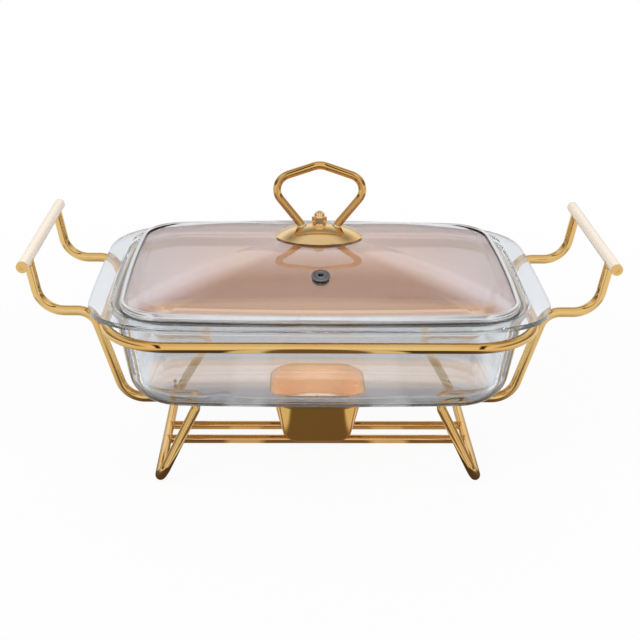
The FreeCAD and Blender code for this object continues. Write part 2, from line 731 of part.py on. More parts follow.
def dome_levels(drop, step, inset):
    """The dome's shoulder and crown sections, lowered and drawn in for the inside."""
    start = f"({GLASS_EDGE_TOP} - {drop})"
    turn = f"({start} + dome_shoulder_rise)"
    crown_share = f"(dome_shoulder - {inset})"
    shoulder = [(start, grown(LID, f"-(band_flange + dome_margin + {step})")),
                (turn, scaled(LID, crown_share))]
    crown = [shoulder[-1]]
    for part in ("0.8", "0.6", "0.4", "dome_cap"):
        crown.append((f"({turn} + dome_crown_rise * (1 - {part} ^ 2))",
                      crown_outline(part, crown_share)))
    return shoulder, crown


def lid_glass():
    """Tempered glass: a flat edge for the band, a short shoulder and a low dome."""
    body = new_body("lid_glass")
    edge = bowed_sketch(body, "glass_edge_outline", f"({GLASS_EDGE_TOP} - lid_glass_thickness)",
                        grown(LID, "-(band_gauge + band_fit)"))
    pad(body, "glass_edge", edge, "lid_glass_thickness")
    shoulder, crown = dome_levels("0", "0", "0")
    bowed_loft(body, "outer_shoulder", shoulder)
    bowed_loft(body, "outer_crown", crown, ruled=False)
    shoulder, crown = dome_levels("lid_glass_thickness", "dome_foot_step", "dome_inset")
    bowed_loft(body, "inner_shoulder", shoulder, cut=True)
    bowed_loft(body, "inner_crown", crown, cut=True, ruled=False)
    screw_hole = new_sketch(body, "glass_screw_outline", offset=DOME_TOP)
    add_circle(screw_hole, "hole", "screw_hole")
    through_pocket(body, "glass_screw_hole", screw_hole)
    vent = primitive(body, "SubtractiveCylinder", "glass_vent_hole",
                     offset=f"({VENT_HEIGHT} - 3 * lid_glass_thickness)",
                     Radius="vent_hole / 2", Height="6 * lid_glass_thickness")
    bind(vent, "AttachmentOffset.Base.y", "-vent_setback")


def vent_part(name, along):
    """A body on the vent's axis, square to the dome, at a distance along that axis."""
    tilt = FreeCAD.Rotation(FreeCAD.Vector(1, 0, 0), value(VENT_TILT))
    return new_body(name, y=f"-vent_setback - sin({VENT_TILT}) * {along}",
                    z=f"{VENT_HEIGHT} + cos({VENT_TILT}) * {along}", turn=tilt)


def steam_vent():
    """A flanged eyelet through the lid and the ring that holds it from below."""
    ring_depth = f"({VENT_WALL} + vent_seat + vent_ring_gauge)"
    barrel = f"({ring_depth} + vent_seat)"
    eyelet = vent_part("vent_eyelet", "vent_seat")
    primitive(eyelet, "AdditiveCylinder", "eyelet_flange",
              Radius="vent_flange / 2", Height="vent_flange_gauge")
    fillet_level(eyelet, "eyelet_edge", "vent_flange_gauge / 2", "vent_flange_gauge")
    primitive(eyelet, "AdditiveCylinder", "eyelet_barrel", offset=f"-{barrel}",
              Radius="vent_barrel / 2", Height=barrel)
    primitive(eyelet, "SubtractiveCylinder", "eyelet_bore", offset=f"-{barrel}",
              Radius="vent_bore / 2", Height=f"({barrel} + vent_flange_gauge)")
    ring = vent_part("vent_back_ring", f"(-{ring_depth})")
    primitive(ring, "AdditiveCylinder", "back_ring_disc",
              Radius="vent_ring / 2", Height="vent_ring_gauge")
    primitive(ring, "SubtractiveCylinder", "back_ring_bore",
              Radius="vent_barrel / 2", Height="vent_ring_gauge")


def plate_ellipsoid(body, name, kind, centre, inset="0"):
    """An ellipsoid that shares the knob plate's form, smaller by an inset."""
    flare = "sqrt(1 - ((plate_curve - plate_crown) / plate_curve) ^ 2)"
    return primitive(body, kind, name, offset=centre,
                     Radius1=f"plate_curve - {inset}",
                     Radius2=f"plate_length / 2 / {flare} - {inset}",
                     Radius3=f"plate_width / 2 / {flare} - {inset}")


def knob_plate():
    """A domed oval plate, hollow below, under the lid's handle."""
    body = new_body("knob_plate", z=f"({PLATE_TOP} - plate_curve)")
    cap = plate_ellipsoid(body, "plate_outside", "AdditiveEllipsoid", "0")
    bind(cap, "Angle1", "asin((plate_curve - plate_crown) / plate_curve)")
    plate_ellipsoid(body, "plate_inside", "SubtractiveEllipsoid", "0", "plate_gauge")
    primitive(body, "SubtractiveCylinder", "plate_hole",
              Radius="screw_hole / 2", Height="plate_curve * 2")


def knob_gasket():
    """A thin oval gasket that keeps the plate's edge off the glass."""
    body = new_body("knob_gasket", z=DOME_TOP)
    sketch = new_sketch(body, "gasket_outline")
    length = "(plate_length - 2 * gasket_inset)"
    width = "(plate_width - 2 * gasket_inset)"
    ellipse = Part.Ellipse(FreeCAD.Vector(0, 0, 0), value(length) / 2, value(width) / 2)
    oval = sketch.addGeometry(ellipse, False)
    sketch.exposeInternalGeometry(oval)
    long_axis, short_axis = oval + 1, oval + 2
    sketch.addConstraint(Sketcher.Constraint("Coincident", oval, 3, -1, 1))
    sketch.addConstraint(Sketcher.Constraint("Horizontal", long_axis))
    measured(sketch, "long_axis", "Distance", long_axis, length)
    measured(sketch, "short_axis", "Distance", short_axis, width)
    pad(body, "gasket_pad", sketch, "gasket_gauge")
    primitive(body, "SubtractiveCylinder", "gasket_hole",
              Radius="screw_hole / 2", Height="gasket_gauge")


def upright_arc(edge):
    """A sketch arc from an edge, always counter-clockwise as sketches need."""
    first, last = edge.FirstParameter, edge.LastParameter
    ends = [edge.valueAt(first), edge.valueAt(last)]
    if edge.Curve.Axis.z < 0:
        ends.reverse()
    return Part.Arc(ends[0], edge.valueAt((first + last) / 2), ends[1])


def add_filleted_path(sketch, corners):
    """An open path of lines and tangent arcs, held by the corners it rounds."""
    points = [FreeCAD.Vector(value(x), value(y), 0) for x, y, _ in corners]
    edges = bent_wire(points, [value(radius) for _, _, radius in corners[1:-1]]).Edges
    ids = []
    for edge in edges:
        if isinstance(edge.Curve, Part.Circle):
            piece = upright_arc(edge)
        else:
            piece = Part.LineSegment(edge.valueAt(edge.FirstParameter),
                                     edge.valueAt(edge.LastParameter))
        ids.append(sketch.addGeometry(piece, False))

    def near_end(item, place):
        gaps = [sketch.getPoint(item, end).distanceToPoint(place) for end in (1, 2)]
        return 1 if gaps[0] < gaps[1] else 2

    for number, (x, y, radius) in enumerate(corners[1:-1], start=1):
        corner = points[number]
        lines, bend = (ids[2 * number - 2], ids[2 * number]), ids[2 * number - 1]
        place = sketch.addGeometry(Part.Point(corner), True)
        for line in lines:
            line_end = near_end(line, corner)
            bend_end = near_end(bend, sketch.getPoint(line, line_end))
            sketch.addConstraint(Sketcher.Constraint("Tangent", line, line_end, bend, bend_end))
            sketch.addConstraint(Sketcher.Constraint("PointOnObject", place, 1, line))
        pin(sketch, f"corner{number}", place, 1, x, y)
        measured(sketch, f"bend{number}", "Radius", bend, radius)
    pin(sketch, "first", ids[0], 1, *corners[0][:2])
    pin(sketch, "last", ids[-1], 2, *corners[-1][:2])
    return len(ids)


def loop_handle():
    """The five-sided wire loop, its two feet coped to the plate's dome."""
    body = new_body("loop_handle")
    spine = new_sketch(body, "loop_spine", "XZ_Plane")
    foot = ("(loop_foot_spacing / 2)", f"({PLATE_TOP} - loop_wire)", None)
    shoulder = ("(loop_shoulder_spacing / 2)", "loop_shoulder_height", "loop_shoulder_radius")
    apex = ("0", "loop_apex_height", "loop_apex_radius")
    left = [(f"-{x}", y, radius) for x, y, radius in (foot, shoulder)]
    edges = add_filleted_path(spine, left + [apex, shoulder, foot])
    tube_along(body, "loop", spine, edges, "loop_wire")
    plate_ellipsoid(body, "loop_cope", "SubtractiveEllipsoid", f"({PLATE_TOP} - plate_curve)")


def knob_fastening():
    """Acorn nut and washer above the plate, screw and washer under the glass."""
    washer = new_body("nut_washer", z=f"({PLATE_TOP} - plate_gauge)")
    washer_height = "(nut_washer_gauge + plate_gauge)"
    primitive(washer, "AdditiveCylinder", "nut_washer_disc",
              Radius="nut_washer_diameter / 2", Height=washer_height)
    plate_ellipsoid(washer, "washer_cope", "SubtractiveEllipsoid", "plate_gauge - plate_curve")
    primitive(washer, "SubtractiveCylinder", "nut_washer_hole",
              Radius="screw_diameter / 2", Height=washer_height)
    collar = "(nut_dome_height - nut_dome_diameter / 2)"
    bore = f"(nut_hex_height + {collar})"
    nut = new_body("cap_nut", z=NUT_BASE)
    primitive(nut, "AdditivePrism", "nut_hexagon",
              Circumradius="nut_hex_width / 2", Height="nut_hex_height")
    primitive(nut, "AdditiveCylinder", "nut_collar", offset="nut_hex_height",
              Radius="nut_dome_diameter / 2", Height=collar)
    primitive(nut, "AdditiveSphere", "nut_dome", offset=bore, Radius="nut_dome_diameter / 2")
    primitive(nut, "SubtractiveCylinder", "nut_bore", Radius="screw_diameter / 2", Height=bore)
    under_glass = f"({DOME_TOP} - lid_glass_thickness)"
    lower = new_body("lower_washer", z=f"({under_glass} - lower_washer_gauge)")
    primitive(lower, "AdditiveCylinder", "lower_washer_disc",
              Radius="lower_washer_diameter / 2", Height="lower_washer_gauge")
    primitive(lower, "SubtractiveCylinder", "lower_washer_hole",
              Radius="screw_diameter / 2", Height="lower_washer_gauge")
    head = f"({under_glass} - lower_washer_gauge - screw_head_height)"
    screw = new_body("knob_screw", z=head)
    primitive(screw, "AdditiveCylinder", "screw_head",
              Radius="screw_head_diameter / 2", Height="screw_head_height")
    primitive(screw, "AdditiveCylinder", "screw_shank", Radius="screw_diameter / 2",
              Height=f"{NUT_BASE} + {bore} - screw_tip_gap - {head}")


def build():
    fill_sheet()
    for side, sign in (("left", -1), ("right", 1)):
        side_frame(f"{side}_side_frame", sign)
        grip(f"{side}_grip", sign)
        for end, way in (("front", -1), ("rear", 1)):
            grip_plug(f"{side}_{end}_plug", sign, way)
    support_ring()
    cross_rod("front_cross_rod", -1)
    cross_rod("rear_cross_rod", 1)
    candle_cup()
    tealight()
    glass_dish()
    lid_glass()
    lid_rim_band()
    steam_vent()
    knob_plate()
    knob_gasket()
    loop_handle()
    knob_fastening()
    doc.recompute()


def check_document():
    """Stop before writing anything if an object failed or a shape isn't sound."""
    for item in doc.Objects:
        if "Invalid" in item.State or "Error" in item.State:
            raise RuntimeError(f"{item.Name} failed: {item.State}")
    for node in nodes:
        shape = node.Shape
        if shape.isNull() or not shape.isValid() or len(shape.Solids) != 1:
            raise RuntimeError(f"{node.Label} isn't one sound solid")


def write_parts():
    os.makedirs("parts", exist_ok=True)
    for node in nodes:
        node.Shape.exportStep(f"parts/{node.Label}.step")
        box = node.Shape.BoundBox
        print(f"{node.Label:18s} {node.Shape.Volume:11.1f} mm3"
              f"  x {box.XMin:8.2f} {box.XMax:8.2f}  y {box.YMin:8.2f} {box.YMax:8.2f}"
              f"  z {box.ZMin:8.2f} {box.ZMax:8.2f}")


build()
check_document()
write_parts()
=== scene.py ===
import math

import bmesh
import bpy
from bpy.props import FloatProperty, FloatVectorProperty, IntProperty, PointerProperty
from bpy.types import Operator, PropertyGroup
from mathutils import Matrix, Vector


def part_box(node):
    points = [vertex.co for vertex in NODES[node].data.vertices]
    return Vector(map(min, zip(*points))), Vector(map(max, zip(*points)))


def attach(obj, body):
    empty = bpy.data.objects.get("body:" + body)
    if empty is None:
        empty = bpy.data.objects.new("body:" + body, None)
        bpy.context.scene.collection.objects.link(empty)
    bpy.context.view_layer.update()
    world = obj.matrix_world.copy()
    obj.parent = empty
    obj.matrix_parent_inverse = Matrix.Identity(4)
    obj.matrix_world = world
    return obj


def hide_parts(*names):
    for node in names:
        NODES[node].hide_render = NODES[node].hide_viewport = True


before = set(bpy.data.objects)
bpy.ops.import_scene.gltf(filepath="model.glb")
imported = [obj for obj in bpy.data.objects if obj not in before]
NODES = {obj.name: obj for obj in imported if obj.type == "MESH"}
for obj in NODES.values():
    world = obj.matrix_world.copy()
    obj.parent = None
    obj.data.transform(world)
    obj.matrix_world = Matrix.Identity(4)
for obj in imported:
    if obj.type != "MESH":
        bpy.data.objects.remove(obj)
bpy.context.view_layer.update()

bl_info = {
    "name": "Chafing dish",
    "version": (1, 0, 0),
    "blender": (4, 5, 0),
    "location": "3D View > Sidebar > Chafing dish",
    "description": "Finishes a glass chafing dish on a gold stand and lights it",
    "category": "Object",
}

MM = 0.001

# Corners of the bent rods, in millimetres: half of each path, from its right front end
FRAME_CORNERS = ((221.1, 60.0, 183.3), (214.0, 60.0, 141.6), (175.0, 60.0, 141.6),
                 (152.5, 60.0, 67.45), (93.5, 60.0, 67.45), (127.5, 85.0, 3.6))
LOOP_CORNERS = ((11.4, 0.0, 188.4), (42.25, 0.0, 227.4))
LOOP_PEAK = (0.0, 0.0, 241.9)

CUP_FLOOR_TOP = 0.02        # what faces up below this height is the cup's floor
FLUTE_FADE = 0.0015         # length over which the tin's flutes fade out
TIN_GAUGE, TIN_FOOT = 0.4 * MM, 1.2 * MM
VENT_BARREL, VENT_DEPTH = 3.8 * MM, 5.98 * MM
VENT_SEAT = 0.0003          # gap between the vent's flange and the lid's glass
FLOOR_REACH = 12.0


# Values that a user would change

def number(name, description, default, **limits):
    return FloatProperty(name=name, description=description, default=default, **limits)


def length(name, description, default):
    return number(name, description, default, subtype="DISTANCE", unit="LENGTH",
                  precision=5)


def share(name, description, default):
    return number(name, description, default, min=0.0, max=1.0, subtype="FACTOR")


def turn(name, description, degrees):
    return number(name, description, math.radians(degrees), subtype="ANGLE",
                  unit="ROTATION")


def power(lamp, default):
    return number(f"{lamp} power", f"Power of the {lamp.lower()} lamp", default, min=0.0,
                  subtype="POWER", unit="POWER")


def colour(name, description, default):
    return FloatVectorProperty(name=name, description=description, default=default,
                               size=3, min=0.0, max=1.0, subtype="COLOR")


def count(name, description, default):
    return IntProperty(name=name, description=description, default=default, min=1)


class MetalFinish(PropertyGroup):
    """Colours and polish of the plated and steel parts."""
    rod_gold: colour("Rod gold", "Plating on the stand's rods", (0.84, 0.56, 0.21))
    deep_gold: colour("Deep gold", "Thicker plating, in slow patches", (0.84, 0.48, 0.14))
    # The grips' pale cream colour is a painted highlight from light above
    grip_painted_highlight: colour("Grip gold", "Pale lacquer on the grips", (1.0, 0.88, 0.74))
    # A darker copy of the rod gold: painted shade on the cross rods under the dish
    cross_painted_shade: colour("Cross rod gold", "Plating on the two cross rods", (0.66, 0.38, 0.12))
    nut_gold: colour("Nut gold", "Plating on the acorn nut and washer", (1.0, 0.72, 0.38))
    cup_gold: colour("Cup gold", "Plating on the candle cup", (0.84, 0.53, 0.15))
    # Paler than the cup's plating: painted glow of light inside the cup
    cup_painted_glow: colour("Cup glow", "Satin gold inside the candle cup", (1.0, 0.67, 0.34))
    knob_gold: colour("Knob gold", "Plating on the knob", (0.88, 0.66, 0.34))
    # A darker copy of the rods' gold: painted shade on the loop
    loop_painted_shade: colour("Loop gold", "Plating on the loop", (0.68, 0.41, 0.14))
    weld_silver: colour("Weld silver", "Ground weld under the loop", (0.86, 0.84, 0.80))
    steel: colour("Steel", "Rolled rim band", (0.90, 0.895, 0.89))
    dark_steel: colour("Dark steel", "Steam vent", (0.30, 0.31, 0.33))
    rod_roughness: share("Rod roughness", "Polish of the rods", 0.07)
    plate_roughness: share("Plate roughness", "Polish of pressed parts", 0.10)
    band_roughness: share("Band roughness", "Polish of the rim band", 0.20)


class GlassFinish(PropertyGroup):
    """Tint and polish of the two glass parts."""
    dish_tint: colour("Dish tint", "Colour of the pressed glass", (0.965, 0.97, 0.975))
    body_tone: colour("Body tone", "What thick glass lets through", (0.36, 0.76, 0.84))
    body_depth: number("Body depth", "Density of the glass per metre", 5.0, min=0.0)
    lid_tint: colour("Lid tint", "Rose tint of the lid's middle", (0.72, 0.43, 0.30))
    # Paler mauve towards the lid's ends and rear: painted reflection
    lid_painted_reflection: colour("Lid outer tint", "Mauve tint towards the lid's ends and rear",
                      (0.71, 0.54, 0.52))
    # Painted highlight: a lighter peach strip along the lid's front shoulder
    lid_painted_highlight: colour("Lid front tint", "Thin film along the front shoulder",
                      (1.0, 0.63, 0.40))
    lid_mirror: share("Lid mirror", "Share of light that the lid's tinted film reflects", 0.10)
    lid_gloss: number("Lid gloss", "Index of the lid's hard coat", 2.3, min=1.0, max=2.5)
    dish_bend: number("Dish bend", "How far the dish bends light", 1.33, min=1.0, max=2.0)
    refraction: number("Refraction", "Index of refraction", 1.47, min=1.0, max=2.0)
    dish_body: share("Dish body", "Share of the light that the dish bends", 0.96)
    ripple: length("Ripple", "Depth of the waves that pressing leaves in the glass", 0.0002)


class RimSizes(PropertyGroup):
    """The lid's outline and the steel band rolled round it."""
    half_length: length("Half length", "Half the lid's straight length", 0.150)
    half_width: length("Half width", "Half the lid's straight width", 0.1059)
    corner: length("Corner", "Radius of the lid's corners", 0.0346)
    bow_x: length("End bow", "How far the ends bow outward", 0.004)
    bow_y: length("Side bow", "How far the long sides bow outward", 0.0067)
    base: length("Base", "Height of the band's underside", 0.1518)
    height: length("Height", "Height of the band", 0.0070)
    reach: length("Reach", "Reach of the band over the glass", 0.0041)
    gauge: length("Gauge", "Thickness of the sheet", 0.0004)
    wrap: turn("Wrap", "How far the sheet turns in over the glass, from level", 135.0)
    seam_place: length("Seam place", "Where the band's ends meet, along X", -0.017)
    seam_width: length("Seam width", "Width of the seam's groove", 0.0005)


class VentSizes(PropertyGroup):
    """The eyelet of the steam vent."""
    setback: length("Setback", "Distance in front of the lid's middle", 0.068)
    flange: length("Flange", "Diameter of the flange", 0.0145)
    bore: length("Bore", "Diameter of the hole", 0.0042)
    gauge: length("Gauge", "Height of the flange", 0.0016)
    base: length("Base", "Height of the flange's underside", 0.17344)
    slope: turn("Slope", "How far the lid's glass leans at the vent", 16.386)


class CandleSizes(PropertyGroup):
    """The tealight's pressed tin and braided wick."""
    flutes: count("Flutes", "Pressed flutes round the tin", 48)
    flute_depth: length("Flute depth", "Depth of the flutes", 0.00022)
    rim_roll: length("Rim roll", "Radius of the tin's rolled rim", 0.00045)
    strands: count("Strands", "Strands of the wick", 3)
    strand_diameter: length("Strand diameter", "Diameter of one strand", 0.0009)
    twists: number("Twists", "Turns of a strand", 5.0)


class RodSizes(PropertyGroup):
    """The bent rods and the wire loop."""
    rod: length("Rod", "Diameter of the side frames' rod", 0.0078)
    ring: length("Ring rod", "Diameter of the ring's rod", 0.0082)
    wire: length("Wire", "Diameter of the loop's wire", 0.0064)
    sides: count("Sides", "Faces round a rod", 40)
    ring_corner: length("Ring corner", "Radius of the ring's corners", 0.052)
    elbow: length("Elbow", "Radius of the bend below the grip", 0.021)
    shoulder: length("Shoulder", "Radius of the bend beside the ring", 0.016)
    saddle: length("Saddle", "Radius of the bend beside the dish's base", 0.020)
    leg_top: length("Leg top", "Radius of the bend above a leg", 0.0075)
    foot: length("Foot", "Radius of the bend at a foot", 0.011)
    loop_shoulder: length("Loop shoulder", "Radius of the loop's side bends", 0.0128)
    loop_apex: length("Loop apex", "Radius of the loop's top bend", 0.0158)


class WeldSizes(PropertyGroup):
    """The beads that join the rods."""
    bead_share: share("Bead share", "Bead thickness as a share of its ring's radius", 0.24)
    ripple: length("Ripple", "Unevenness of the beads", 0.00035)
    seed: count("Seed", "Seed of the unevenness", 7)


class StageSettings(PropertyGroup):
    """Camera, floor and lamps."""
    camera_place: FloatVectorProperty(name="Camera place", description="Where the camera is",
                                      default=(-0.0223, -0.9169, 0.4962), subtype="XYZ",
                                      unit="LENGTH")
    pitch: turn("Pitch", "How far the camera looks down", 22.892)
    yaw: turn("Yaw", "How far the camera turns to the right", 1.493)
    roll: turn("Roll", "How far the camera rolls", 0.778)
    lens: number("Lens", "Focal length in millimetres", 67.5)
    floor_colour: colour("Floor colour", "Pale floor", (0.88, 0.88, 0.89))
    floor_glow: share("Floor glow", "Share of plain white that the near floor shows", 0.93)
    # Seen through glass the floor is painted: shadow under the stand, the lid's rosy light
    # behind it, shade further back, pale beyond
    floor_painted_shadow: colour("Floor under the stand", "Seen through the dish", (0.36, 0.36, 0.38))
    floor_painted_rosy_light: colour("Lid's rosy light", "Cast on the floor, seen through the dish",
                       (0.94, 0.74, 0.63))
    floor_shade: colour("Floor behind the stand", "Seen through glass", (0.42, 0.44, 0.48))
    floor_pale: colour("Floor further off", "Seen through glass", (0.88, 0.91, 0.96))
    key_power: power("Key", 9.0)
    fill_power: power("Fill", 5.0)
    back_power: power("Back", 4.0)
    cup_power: power("Cup", 0.02)
    ambient: share("Ambient", "Strength of the even light all round", 0.45)


GROUPS = {"metal": MetalFinish, "glass": GlassFinish, "rim": RimSizes, "vent": VentSizes,
          "candle": CandleSizes, "rods": RodSizes, "weld": WeldSizes,
          "stage": StageSettings}


class ChafingDishSettings(PropertyGroup):
    """All the values of the chafing dish."""
    __annotations__ = {label: PointerProperty(type=group, name=label.capitalize())
                       for label, group in GROUPS.items()}


# Materials

class Nodes:
    """A node tree, with short ways to add nodes and to feed their inputs."""

    def __init__(self, tree):
        self.tree = tree
        tree.nodes.clear()

    def add(self, kind, settings=None, *inputs, **named):
        """A new node. An input takes a value, or the (node, output) pair that feeds it."""
        node = self.tree.nodes.new(kind)
        for attribute, value in (settings or {}).items():
            setattr(node, attribute, value)
        self.feed(node, dict(enumerate(inputs)))
        self.feed(node, {name.replace("_", " "): value for name, value in named.items()})
        return node

    def feed(self, node, inputs):
        for socket, value in inputs.items():
            target = node.inputs[socket]
            if isinstance(value, tuple) and isinstance(value[0], bpy.types.Node):
                source, output = value
                self.tree.links.new(source.outputs[output], target)
            elif target.type == "RGBA":
                target.default_value = (*value, 1.0)
            else:
                target.default_value = value

    def math(self, operation, *terms):
        """A sum over one, two or more values, taken from the left."""
        result = self.add("ShaderNodeMath", {"operation": operation}, *terms[:2]), "Value"
        return self.math(operation, result, *terms[2:]) if terms[2:] else result

    def product(self, *terms):
        return self.math("MULTIPLY", *terms)

    def axes(self, source):
        parts = self.add("ShaderNodeSeparateXYZ", None, source)
        return [(parts, axis) for axis in "XYZ"]

    def fade(self, source, near, far, low=0.0, high=1.0):
        """A value that runs smoothly from low to high between near and far."""
        span = self.add("ShaderNodeMapRange", {"interpolation_type": "SMOOTHSTEP"},
                        Value=source, From_Min=near, From_Max=far, To_Min=low, To_Max=high)
        return span, "Result"

    def colours(self, source, stops):
        """Colours over a value: (place, colour) stops in order."""
        ramp = self.add("ShaderNodeValToRGB", None, source)
        band = ramp.color_ramp
        while len(band.elements) < len(stops):
            band.elements.new(0.5)
        for element, (place, tone) in zip(band.elements, stops):
            element.position = place
            element.color = (*tone, 1.0)
        return ramp, "Color"

    def ramp(self, source, stops):
        """Grey levels over a value: (place, level) stops in order."""
        return self.colours(source, [(place, (level,) * 3) for place, level in stops])

    def tones(self, share_of, first, second):
        """Two colours, plain or wired, mixed by a value."""
        mix = self.add("ShaderNodeMix", {"data_type": "RGBA"})
        self.feed(mix, {0: share_of, 6: first, 7: second})
        return mix, 2

    def blend(self, share_of, first, second):
        """Two values mixed by a third."""
        mix = self.add("ShaderNodeMix", {"data_type": "FLOAT"})
        self.feed(mix, {0: share_of, 2: first, 3: second})
        return mix, 0

    def mixed(self, share_of, first, second):
        """Two shaders mixed by a value."""
        return self.add("ShaderNodeMixShader", None, share_of, (first, 0), (second, 0))


class Finish(Nodes):
    """One procedural material: a Principled shader with nodes wired to it."""

    def __init__(self, name, **values):
        self.material = bpy.data.materials.new(name)
        self.material.use_nodes = True
        super().__init__(self.material.node_tree)
        self.shader = self.add("ShaderNodeBsdfPrincipled", **values)
        self.output = self.add("ShaderNodeOutputMaterial", Surface=(self.shader, "BSDF"))
        self.place = self.add("ShaderNodeTexCoord")

    def noise(self, scale, detail, stretch=(1.0, 1.0, 1.0)):
        """Noise on the object's own coordinates, drawn out along any axis."""
        mapping = self.add("ShaderNodeMapping", Vector=(self.place, "Object"), Scale=stretch)
        noise = self.add("ShaderNodeTexNoise", Vector=(mapping, "Vector"), Scale=scale,
                         Detail=detail)
        return noise, "Fac"

    def vary_colour(self, first, second, noise, near=0.35, far=0.65):
        """Two colours by a noise, given as its scale, detail and stretch."""
        tone = self.tones(self.fade(self.noise(*noise), near, far), first, second)
        self.feed(self.shader, {"Base Color": tone})

    def vary_roughness(self, low, high, noise, near=0.3, far=0.7):
        polish = self.fade(self.noise(*noise), near, far, low, high)
        self.feed(self.shader, {"Roughness": polish})

    def bump(self, noise, depth, strength):
        bump = self.add("ShaderNodeBump", Strength=strength, Distance=depth,
                        Height=self.noise(*noise))
        self.feed(self.shader, {"Normal": (bump, "Normal")})

    def let_lamps_through(self, tint):
        """Rays from lamps pass the glass, so that what it holds isn't left dark."""
        path = self.add("ShaderNodeLightPath")
        clear = self.add("ShaderNodeBsdfTransparent", Color=tint)
        look = self.mixed((path, "Is Shadow Ray"), self.shader, clear)
        self.feed(self.output, {"Surface": (look, "Shader")})


def plated(name, gold, deep, roughness):
    """Plated metal: slow changes of colour and polish over very shallow waves."""
    finish = Finish(name, Metallic=1.0)
    finish.vary_colour(gold, deep, (14.0, 2.0), 0.40, 0.80)
    finish.vary_roughness(roughness - 0.015, roughness + 0.03, (60.0, 3.0))
    finish.bump((30.0, 1.0), 0.00002, 0.5)
    return finish.material


def lined_cup(name, metal):
    """Bright plating on the cup's outside, and satin gold on what faces into it, in a paler
    colour that paints a glow of light inside the cup.
    """
    finish = Finish(name)
    normal_x, normal_y, normal_z = finish.axes((finish.place, "Normal"))
    x, y, z = finish.axes((finish.place, "Object"))
    outward = finish.math("ADD", finish.product(normal_x, x),
                          finish.product(normal_y, y))
    walls = finish.product(finish.math("LESS_THAN", outward, 0.0),
                           finish.math("GREATER_THAN", normal_z, -0.5))
    floor = finish.product(finish.math("GREATER_THAN", normal_z, 0.5),
                           finish.math("LESS_THAN", z, CUP_FLOOR_TOP))
    inside = finish.math("MAXIMUM", walls, floor)
    plating = finish.tones(finish.fade(finish.noise(14.0, 2.0), 0.40, 0.80),
                           metal.cup_gold, metal.deep_gold)
    # Paler satin gold on the inward faces: painted glow of light inside the cup
    satin = finish.tones(finish.fade(finish.noise(20.0, 2.0), 0.4, 1.0),
                         metal.cup_painted_glow, metal.knob_gold)
    polish, patches = metal.plate_roughness, finish.noise(60.0, 3.0)
    roughness = finish.blend(inside,
                             finish.fade(patches, 0.3, 0.7, polish - 0.015, polish + 0.03),
                             finish.fade(patches, 0.3, 0.7, 0.28, 0.38))
    finish.feed(finish.shader, {"Base Color": finish.tones(inside, plating, satin),
                                "Roughness": roughness,
                                "Metallic": finish.fade(inside, 0.0, 1.0, 1.0, 0.3)})
    finish.bump((30.0, 1.0), 0.0012, finish.fade(inside, 0.0, 1.0, 0.5, 0.0))
    return finish.material


def lacquered(name, tone, deep):
    """Satin lacquer over metal, with light rubbing."""
    finish = Finish(name, Metallic=0.05, Coat_Weight=0.1, Coat_Roughness=0.2)
    rubbed = [0.5 * (part + other) for part, other in zip(tone, deep)]
    finish.vary_colour(tone, rubbed, (12.0, 2.0), 0.5, 0.95)
    finish.vary_roughness(0.30, 0.36, (60.0, 3.0))
    finish.bump((40.0, 1.0), 0.00002, 0.5)
    return finish.material


def rolled_steel(name, tone, roughness, stretch=(1.0, 1.0, 14.0)):
    """Bright sheet steel with a faint grain and soft streaks of polish."""
    finish = Finish(name, Metallic=1.0)
    finish.vary_colour(tone, [0.82 * part for part in tone], (70.0, 3.0), 0.4, 0.9)
    finish.vary_roughness(roughness - 0.04, roughness + 0.08, (160.0, 3.0, stretch))
    finish.bump((500.0, 3.0, stretch), 0.00001, 0.3)
    return finish.material


def brushed_steel(name, tone, roughness):
    """Satin sheet steel: soft changes of polish over a grain too fine to break its gloss."""
    finish = Finish(name, Metallic=1.0)
    finish.vary_colour(tone, [0.93 * part for part in tone], (40.0, 2.0), 0.4, 0.9)
    finish.vary_roughness(roughness, roughness + 0.06, (90.0, 3.0))
    finish.bump((1200.0, 2.0), 0.000002, 0.2)
    return finish.material


def pressed_glass(name, tint, refraction, ripple, smear, **film):
    """Glass with slow waves from pressing and faint smears."""
    finish = Finish(name, Base_Color=tint, Transmission_Weight=1.0, IOR=refraction, **film)
    finish.vary_roughness(0.0, smear, (30.0, 3.0), 0.45, 0.8)
    finish.bump((16.0, 1.0), ripple, 0.5)
    finish.let_lamps_through([part ** 0.5 for part in tint])
    return finish


def candle_wax(name):
    finish = Finish(name, Subsurface_Weight=0.5, Subsurface_Scale=0.004,
                    Subsurface_Radius=(1.0, 0.8, 0.6))
    finish.vary_colour((0.93, 0.92, 0.88), (0.86, 0.84, 0.79), (120.0, 4.0))
    finish.vary_roughness(0.38, 0.55, (200.0, 3.0))
    finish.bump((140.0, 3.0), 0.0002, 0.4)
    return finish.material


def cotton(name):
    finish = Finish(name, Roughness=0.9, Sheen_Weight=0.4)
    finish.vary_colour((0.90, 0.88, 0.82), (0.72, 0.69, 0.62), (1500.0, 3.0))
    finish.bump((3000.0, 2.0), 0.0001, 0.8)
    return finish.material


def silicone(name):
    finish = Finish(name, IOR=1.41, Transmission_Weight=0.35)
    finish.vary_colour((0.83, 0.83, 0.81), (0.74, 0.74, 0.72), (90.0, 3.0))
    finish.vary_roughness(0.35, 0.5, (160.0, 3.0))
    finish.bump((700.0, 2.0), 0.00002, 0.4)
    return finish.material


def dress(material, *names):
    """Give the finish to parts that keep the shape they have."""
    for name in names:
        for slot in NODES[name].material_slots:
            slot.material = material


# Shapes

def new_object(name, data):
    item = bpy.data.objects.new(name, data)
    bpy.context.scene.collection.objects.link(item)
    return item


def plain_mesh(name, points, edges=(), faces=()):
    mesh = bpy.data.meshes.new(name)
    mesh.from_pydata(points, edges, faces)
    return mesh


